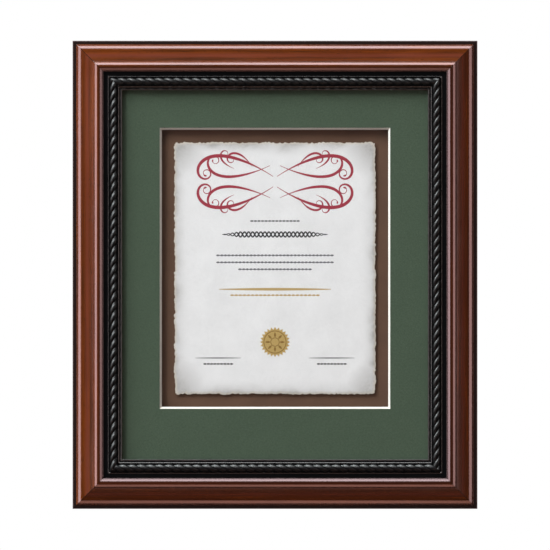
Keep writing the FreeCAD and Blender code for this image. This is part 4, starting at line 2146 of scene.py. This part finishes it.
@dataclass
class Fixings:
    """All the hardware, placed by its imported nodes."""

    layout: Layout
    nail_leg: float = 0.006
    nail_thickness: float = 0.0006
    nail_depth: float = 0.009
    nail_spread: float = 60.0
    nail_proud: float = 0.00004
    nail_rounding: float = 0.00008
    nail_insets: tuple[float, ...] = (0.0078, 0.0182, 0.0349)
    strap_screws: tuple[float, float] = (0.0064, 0.0205)
    strap_shoulder: float = 0.0016
    button_shoulder: float = 0.002
    bumper_radius: float = 0.005
    bumper_height: float = 0.005
    bumper_inset: float = 0.013
    bumper_rim: float = 0.0009
    bumper_rim_steps: int = 5
    bumper_sides: int = 56

    def build(self) -> None:
        """Model and finish every piece of hardware."""
        self.build_buttons()
        self.build_hangers()
        self.build_nails()
        self.build_bumpers()

    def build_buttons(self) -> None:
        """Turn buttons and their screws."""
        buttons = TurnButtons(self.layout)
        screws = Screws(self.layout)
        turns = {"bottom": 0, "top": 180}
        turns |= {"left_lower": 90, "left_upper": 90, "right_lower": -90, "right_upper": -90}
        places = []
        for label, turn in turns.items():
            node = f"{label}_turn_button"
            low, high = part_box(node)
            reach = buttons.heel_radius
            x = {90: low.x + reach, -90: high.x - reach}.get(turn, 0.0)
            z = {0: low.z + reach, 180: high.z - reach}.get(turn, (low.z + high.z) / 2)
            places.append((x, z))
            buttons.dress(buttons.build(f"{label}_button_leaf", (x, z), turn), node)
        seat = 2 * buttons.lift + buttons.thickness
        piece = screws.build("button_screws", places, seat, self.button_shoulder)
        screws.dress(piece, "turn_button_screws")

    def build_hangers(self) -> None:
        """Straps, D-rings and their screws."""
        hangers = Hangers(self.layout)
        screws = Screws(self.layout)
        low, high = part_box("right_d_ring")
        bar = (high.x - hangers.wire, (low.z + high.z) / 2)
        straps, places = [], []
        steel = Metal("nickel_plated_steel", paint(214, 213, 210), paint(150, 146, 138), 0.22).material()
        for side, sign in ((Side.LEFT, -1), (Side.RIGHT, 1)):
            strap = hangers.strap(f"{side.label}_strap", self.strap_screws)
            hangers.place(strap, sign, bar)
            straps.append(strap)
            places += [(sign * (bar[0] + place), bar[1]) for place in self.strap_screws]
            ring = hangers.ring(f"{side.label}_wire_ring")
            hangers.place(ring, sign, bar)
            node = f"{side.label}_d_ring"
            finished(ring, steel, body=node, replaces=[node])
        finished(joined(straps, "folded_straps"), steel, replaces=["hanger_straps"])
        piece = screws.build("strap_screws", places, 2 * hangers.metal, self.strap_shoulder)
        screws.dress(piece, "hanger_screws")

    def build_nails(self) -> None:
        """V nails across the mitres, a hair proud of the backs."""
        spread = math.radians(self.nail_spread)
        inward = Vector((1, 1)) / math.sqrt(2) * (self.nail_thickness / math.sin(spread))
        legs = arc(self.nail_leg, math.pi / 4 + spread, -2 * spread, 1)
        outline = [Vector((0, 0)), legs[0], legs[0] + inward, inward, legs[1] + inward, legs[1]]
        pattern = outlined("nail_pattern", [Vector((spot.x, self.nail_proud, spot.y)) for spot in outline])
        extruded(pattern, Vector((0, -self.nail_depth, 0)))
        softened(pattern, self.nail_rounding, angle=60.0, segments=1)
        nails = []
        corners = {0: (-1, 0), 90: (-1, 1), 180: (1, 1), -90: (1, 0)}
        for inset in self.nail_insets:
            for turn, (across, up) in corners.items():
                nail = copied(pattern, f"nail_{len(nails)}")
                z = self.layout.height - inset if up else inset
                place = (across * (self.layout.half_width - inset), self.layout.back, z)
                settle(nail, place, math.radians(turn))
                nails.append(nail)
        bpy.data.objects.remove(pattern)
        piece = joined(nails, "mitre_v_nails")
        bare = Metal("bare_nail_steel", paint(150, 150, 153), paint(92, 84, 76), 0.36)
        finished(piece, bare.material(), replaces=["corner_v_nails"])

    def build_bumpers(self) -> None:
        """Rubber bumpers at the lower corners."""
        bumpers = []
        for sign in (-1, 1):
            place = (
                sign * (self.layout.half_width - self.bumper_inset),
                self.layout.back + self.bumper_height / 2,
                self.bumper_inset,
            )
            name, sides = f"bumper_{sign + 1}", self.bumper_sides
            bumper = cylinder(name, self.bumper_radius, self.bumper_height, place, sides)
            softened(bumper, self.bumper_rim, angle=60.0, segments=self.bumper_rim_steps)
            smoothed(bumper, angle=40.0)
            bumpers.append(bumper)
        piece = joined(bumpers, "corner_bumpers")
        finished(piece, Rubber().material(), replaces=["wall_bumpers"])


# Studio


@dataclass(frozen=True)
class Softbox:
    """A soft lamp that faces the frame's middle.

    The tilt is measured from the line of sight, and the bearing round it from the right.
    """

    name: str
    tilt: float
    bearing: float
    width: float
    height: float
    glow: float
    distance: float = 5.2
    colour: tuple[float, float, float] = (1.0, 1.0, 1.0)

    def place(self, target: Vector) -> None:
        """Put the lamp in the scene.

        Args:
            target: The point it faces.
        """
        tilt, bearing = math.radians(self.tilt), math.radians(self.bearing)
        across, up = math.cos(bearing), math.sin(bearing)
        ray = Vector((math.sin(tilt) * across, -math.cos(tilt), math.sin(tilt) * up))
        data = bpy.data.lights.new(self.name, "AREA")
        data.shape = "RECTANGLE"
        data.size, data.size_y = self.width, self.height
        data.energy = self.glow * math.pi * self.width * self.height
        data.color = self.colour
        lamp = bpy.data.objects.new(self.name, data)
        lamp.location = target + ray * self.distance
        lamp.rotation_mode = "QUATERNION"
        lamp.rotation_quaternion = ray.to_track_quat("Z", "Y")
        lamp.visible_camera = False
        bpy.context.scene.collection.objects.link(lamp)


@dataclass
class Studio:
    """Camera, pale floor, soft lamps and a white surround."""

    layout: Layout
    camera_distance: float = 8.0
    picture_width: float = 0.552
    camera_drop: float = 0.0002
    sensor: float = 36.0
    view_end: float = 100.0
    floor_drop: float = 0.16
    floor_radius: float = 0.9
    floor_shift: float = 0.85
    floor_clear: float = 0.55
    floor_faded: float = 0.97
    floor_sides: int = 96
    floor_light: Colour = grey(238)
    floor_dark: Colour = grey(232)
    floor_speckle: float = 300.0
    floor_roughness: float = 0.9
    softboxes: tuple[Softbox, ...] = (
        Softbox("top_strip", 61, 90, 2.8, 2.2, 10.6),
        Softbox("left_strip", 56, 180, 2.4, 2.8, 7.2, colour=(1.0, 0.9, 0.91)),
        Softbox("right_strip", 55, 0, 2.8, 1.2, 5.2, colour=(1.0, 0.76, 0.70)),
        Softbox("bottom_strip", 56, 270, 1.0, 2.8, 3.5, colour=(1.0, 0.58, 0.44)),
        Softbox("key", 69, 132, 3.6, 3.6, 27.4, colour=(0.93, 1.0, 1.0)),
    )
    front_ambient: float = 0.05
    rear_ambient: float = 0.85
    ambient_start: float = -0.1
    ambient_end: float = 0.5

    def build(self) -> None:
        """Set the whole studio up."""
        self.build_camera()
        self.build_world()
        self.build_floor()
        target = Vector((0, 0, self.layout.middle))
        for softbox in self.softboxes:
            softbox.place(target)
        bpy.context.scene.view_settings.view_transform = "Standard"

    def build_camera(self) -> None:
        """A long lens straight in front of the frame."""
        data = bpy.data.cameras.new("camera")
        data.sensor_width = self.sensor
        data.lens = self.sensor * self.camera_distance / self.picture_width
        data.clip_end = self.view_end
        camera = bpy.data.objects.new("camera", data)
        camera.location = (0, -self.camera_distance, self.layout.middle - self.camera_drop)
        camera.rotation_euler = (math.pi / 2, 0, 0)
        bpy.context.scene.collection.objects.link(camera)
        bpy.context.scene.camera = camera

    def build_world(self) -> None:
        """White surround behind the frame and a dim room in front of it."""
        world = bpy.data.worlds.new("studio")
        bpy.context.scene.world = world
        world.use_nodes = True
        bench = Bench(world.node_tree)
        bench.tree.nodes.clear()
        rearward = bench.split(bench.node("ShaderNodeTexCoord").outputs["Generated"])[1]
        ends = (self.ambient_start, self.ambient_end, self.front_ambient, self.rear_ambient)
        white = paint(255, 255, 255)
        strength = bench.remap(rearward, *ends)
        ambient = bench.node("ShaderNodeBackground", {"Color": white, "Strength": strength})
        surround = bench.node("ShaderNodeBackground", {"Color": white})
        seen = bench.seen(bench.math("GREATER_THAN", rearward, 0.0))
        mix = bench.node("ShaderNodeMixShader", {0: seen, 1: ambient.outputs[0], 2: surround.outputs[0]})
        bench.node("ShaderNodeOutputWorld", {0: mix.outputs[0]})

    def build_floor(self) -> None:
        """A pale round floor that fades to white at its rim."""
        floor = started(
            "studio_floor",
            bpy.ops.mesh.primitive_circle_add,
            vertices=self.floor_sides,
            radius=self.floor_radius,
            fill_type="NGON",
        )
        settle(floor, (0, self.floor_shift, -self.floor_drop))
        surface = Surface("pale_floor")
        spot = surface.place()
        across, along, _ = surface.split(surface.mapped(spot, shift=(0, -self.floor_shift, 0)))
        squares = surface.plus(surface.times(across, across), surface.times(along, along))
        reach = surface.math("SQRT", squares)
        rim = surface.remap(reach, self.floor_clear, self.floor_radius * self.floor_faded)
        speckle = surface.noise(spot, self.floor_speckle)
        colour = surface.blend(speckle, self.floor_dark, self.floor_light)
        surface.set(Base_Color=colour, Roughness=self.floor_roughness)
        faded = surface.times(surface.seen(), rim)
        white = surface.node("ShaderNodeEmission").outputs[0]
        mix = surface.node("ShaderNodeMixShader", {0: faded, 1: surface.shader.outputs[0], 2: white})
        surface.feed(surface.output.inputs[0], mix.outputs[0])
        coated(floor, surface.material)
        floor.visible_glossy = False


def main() -> None:
    """Build the scene in order and report each piece."""
    logging.basicConfig(level=logging.INFO, format="%(message)s")
    layout = Layout.from_frame()
    Studio(layout).build()
    moulding = Moulding(layout)
    slip = Slip(layout, moulding)
    rope = RopeBead(layout, slip)
    for side in Side:
        for maker in (moulding, slip, rope):
            maker.dress(maker.build(side), side)
    Package(layout).dress()
    certificate = Certificate(layout)
    certificate.dress(certificate.build())
    SheetPrint(layout).build()
    Fixings(layout).build()


if __name__ == "__main__":
    main()
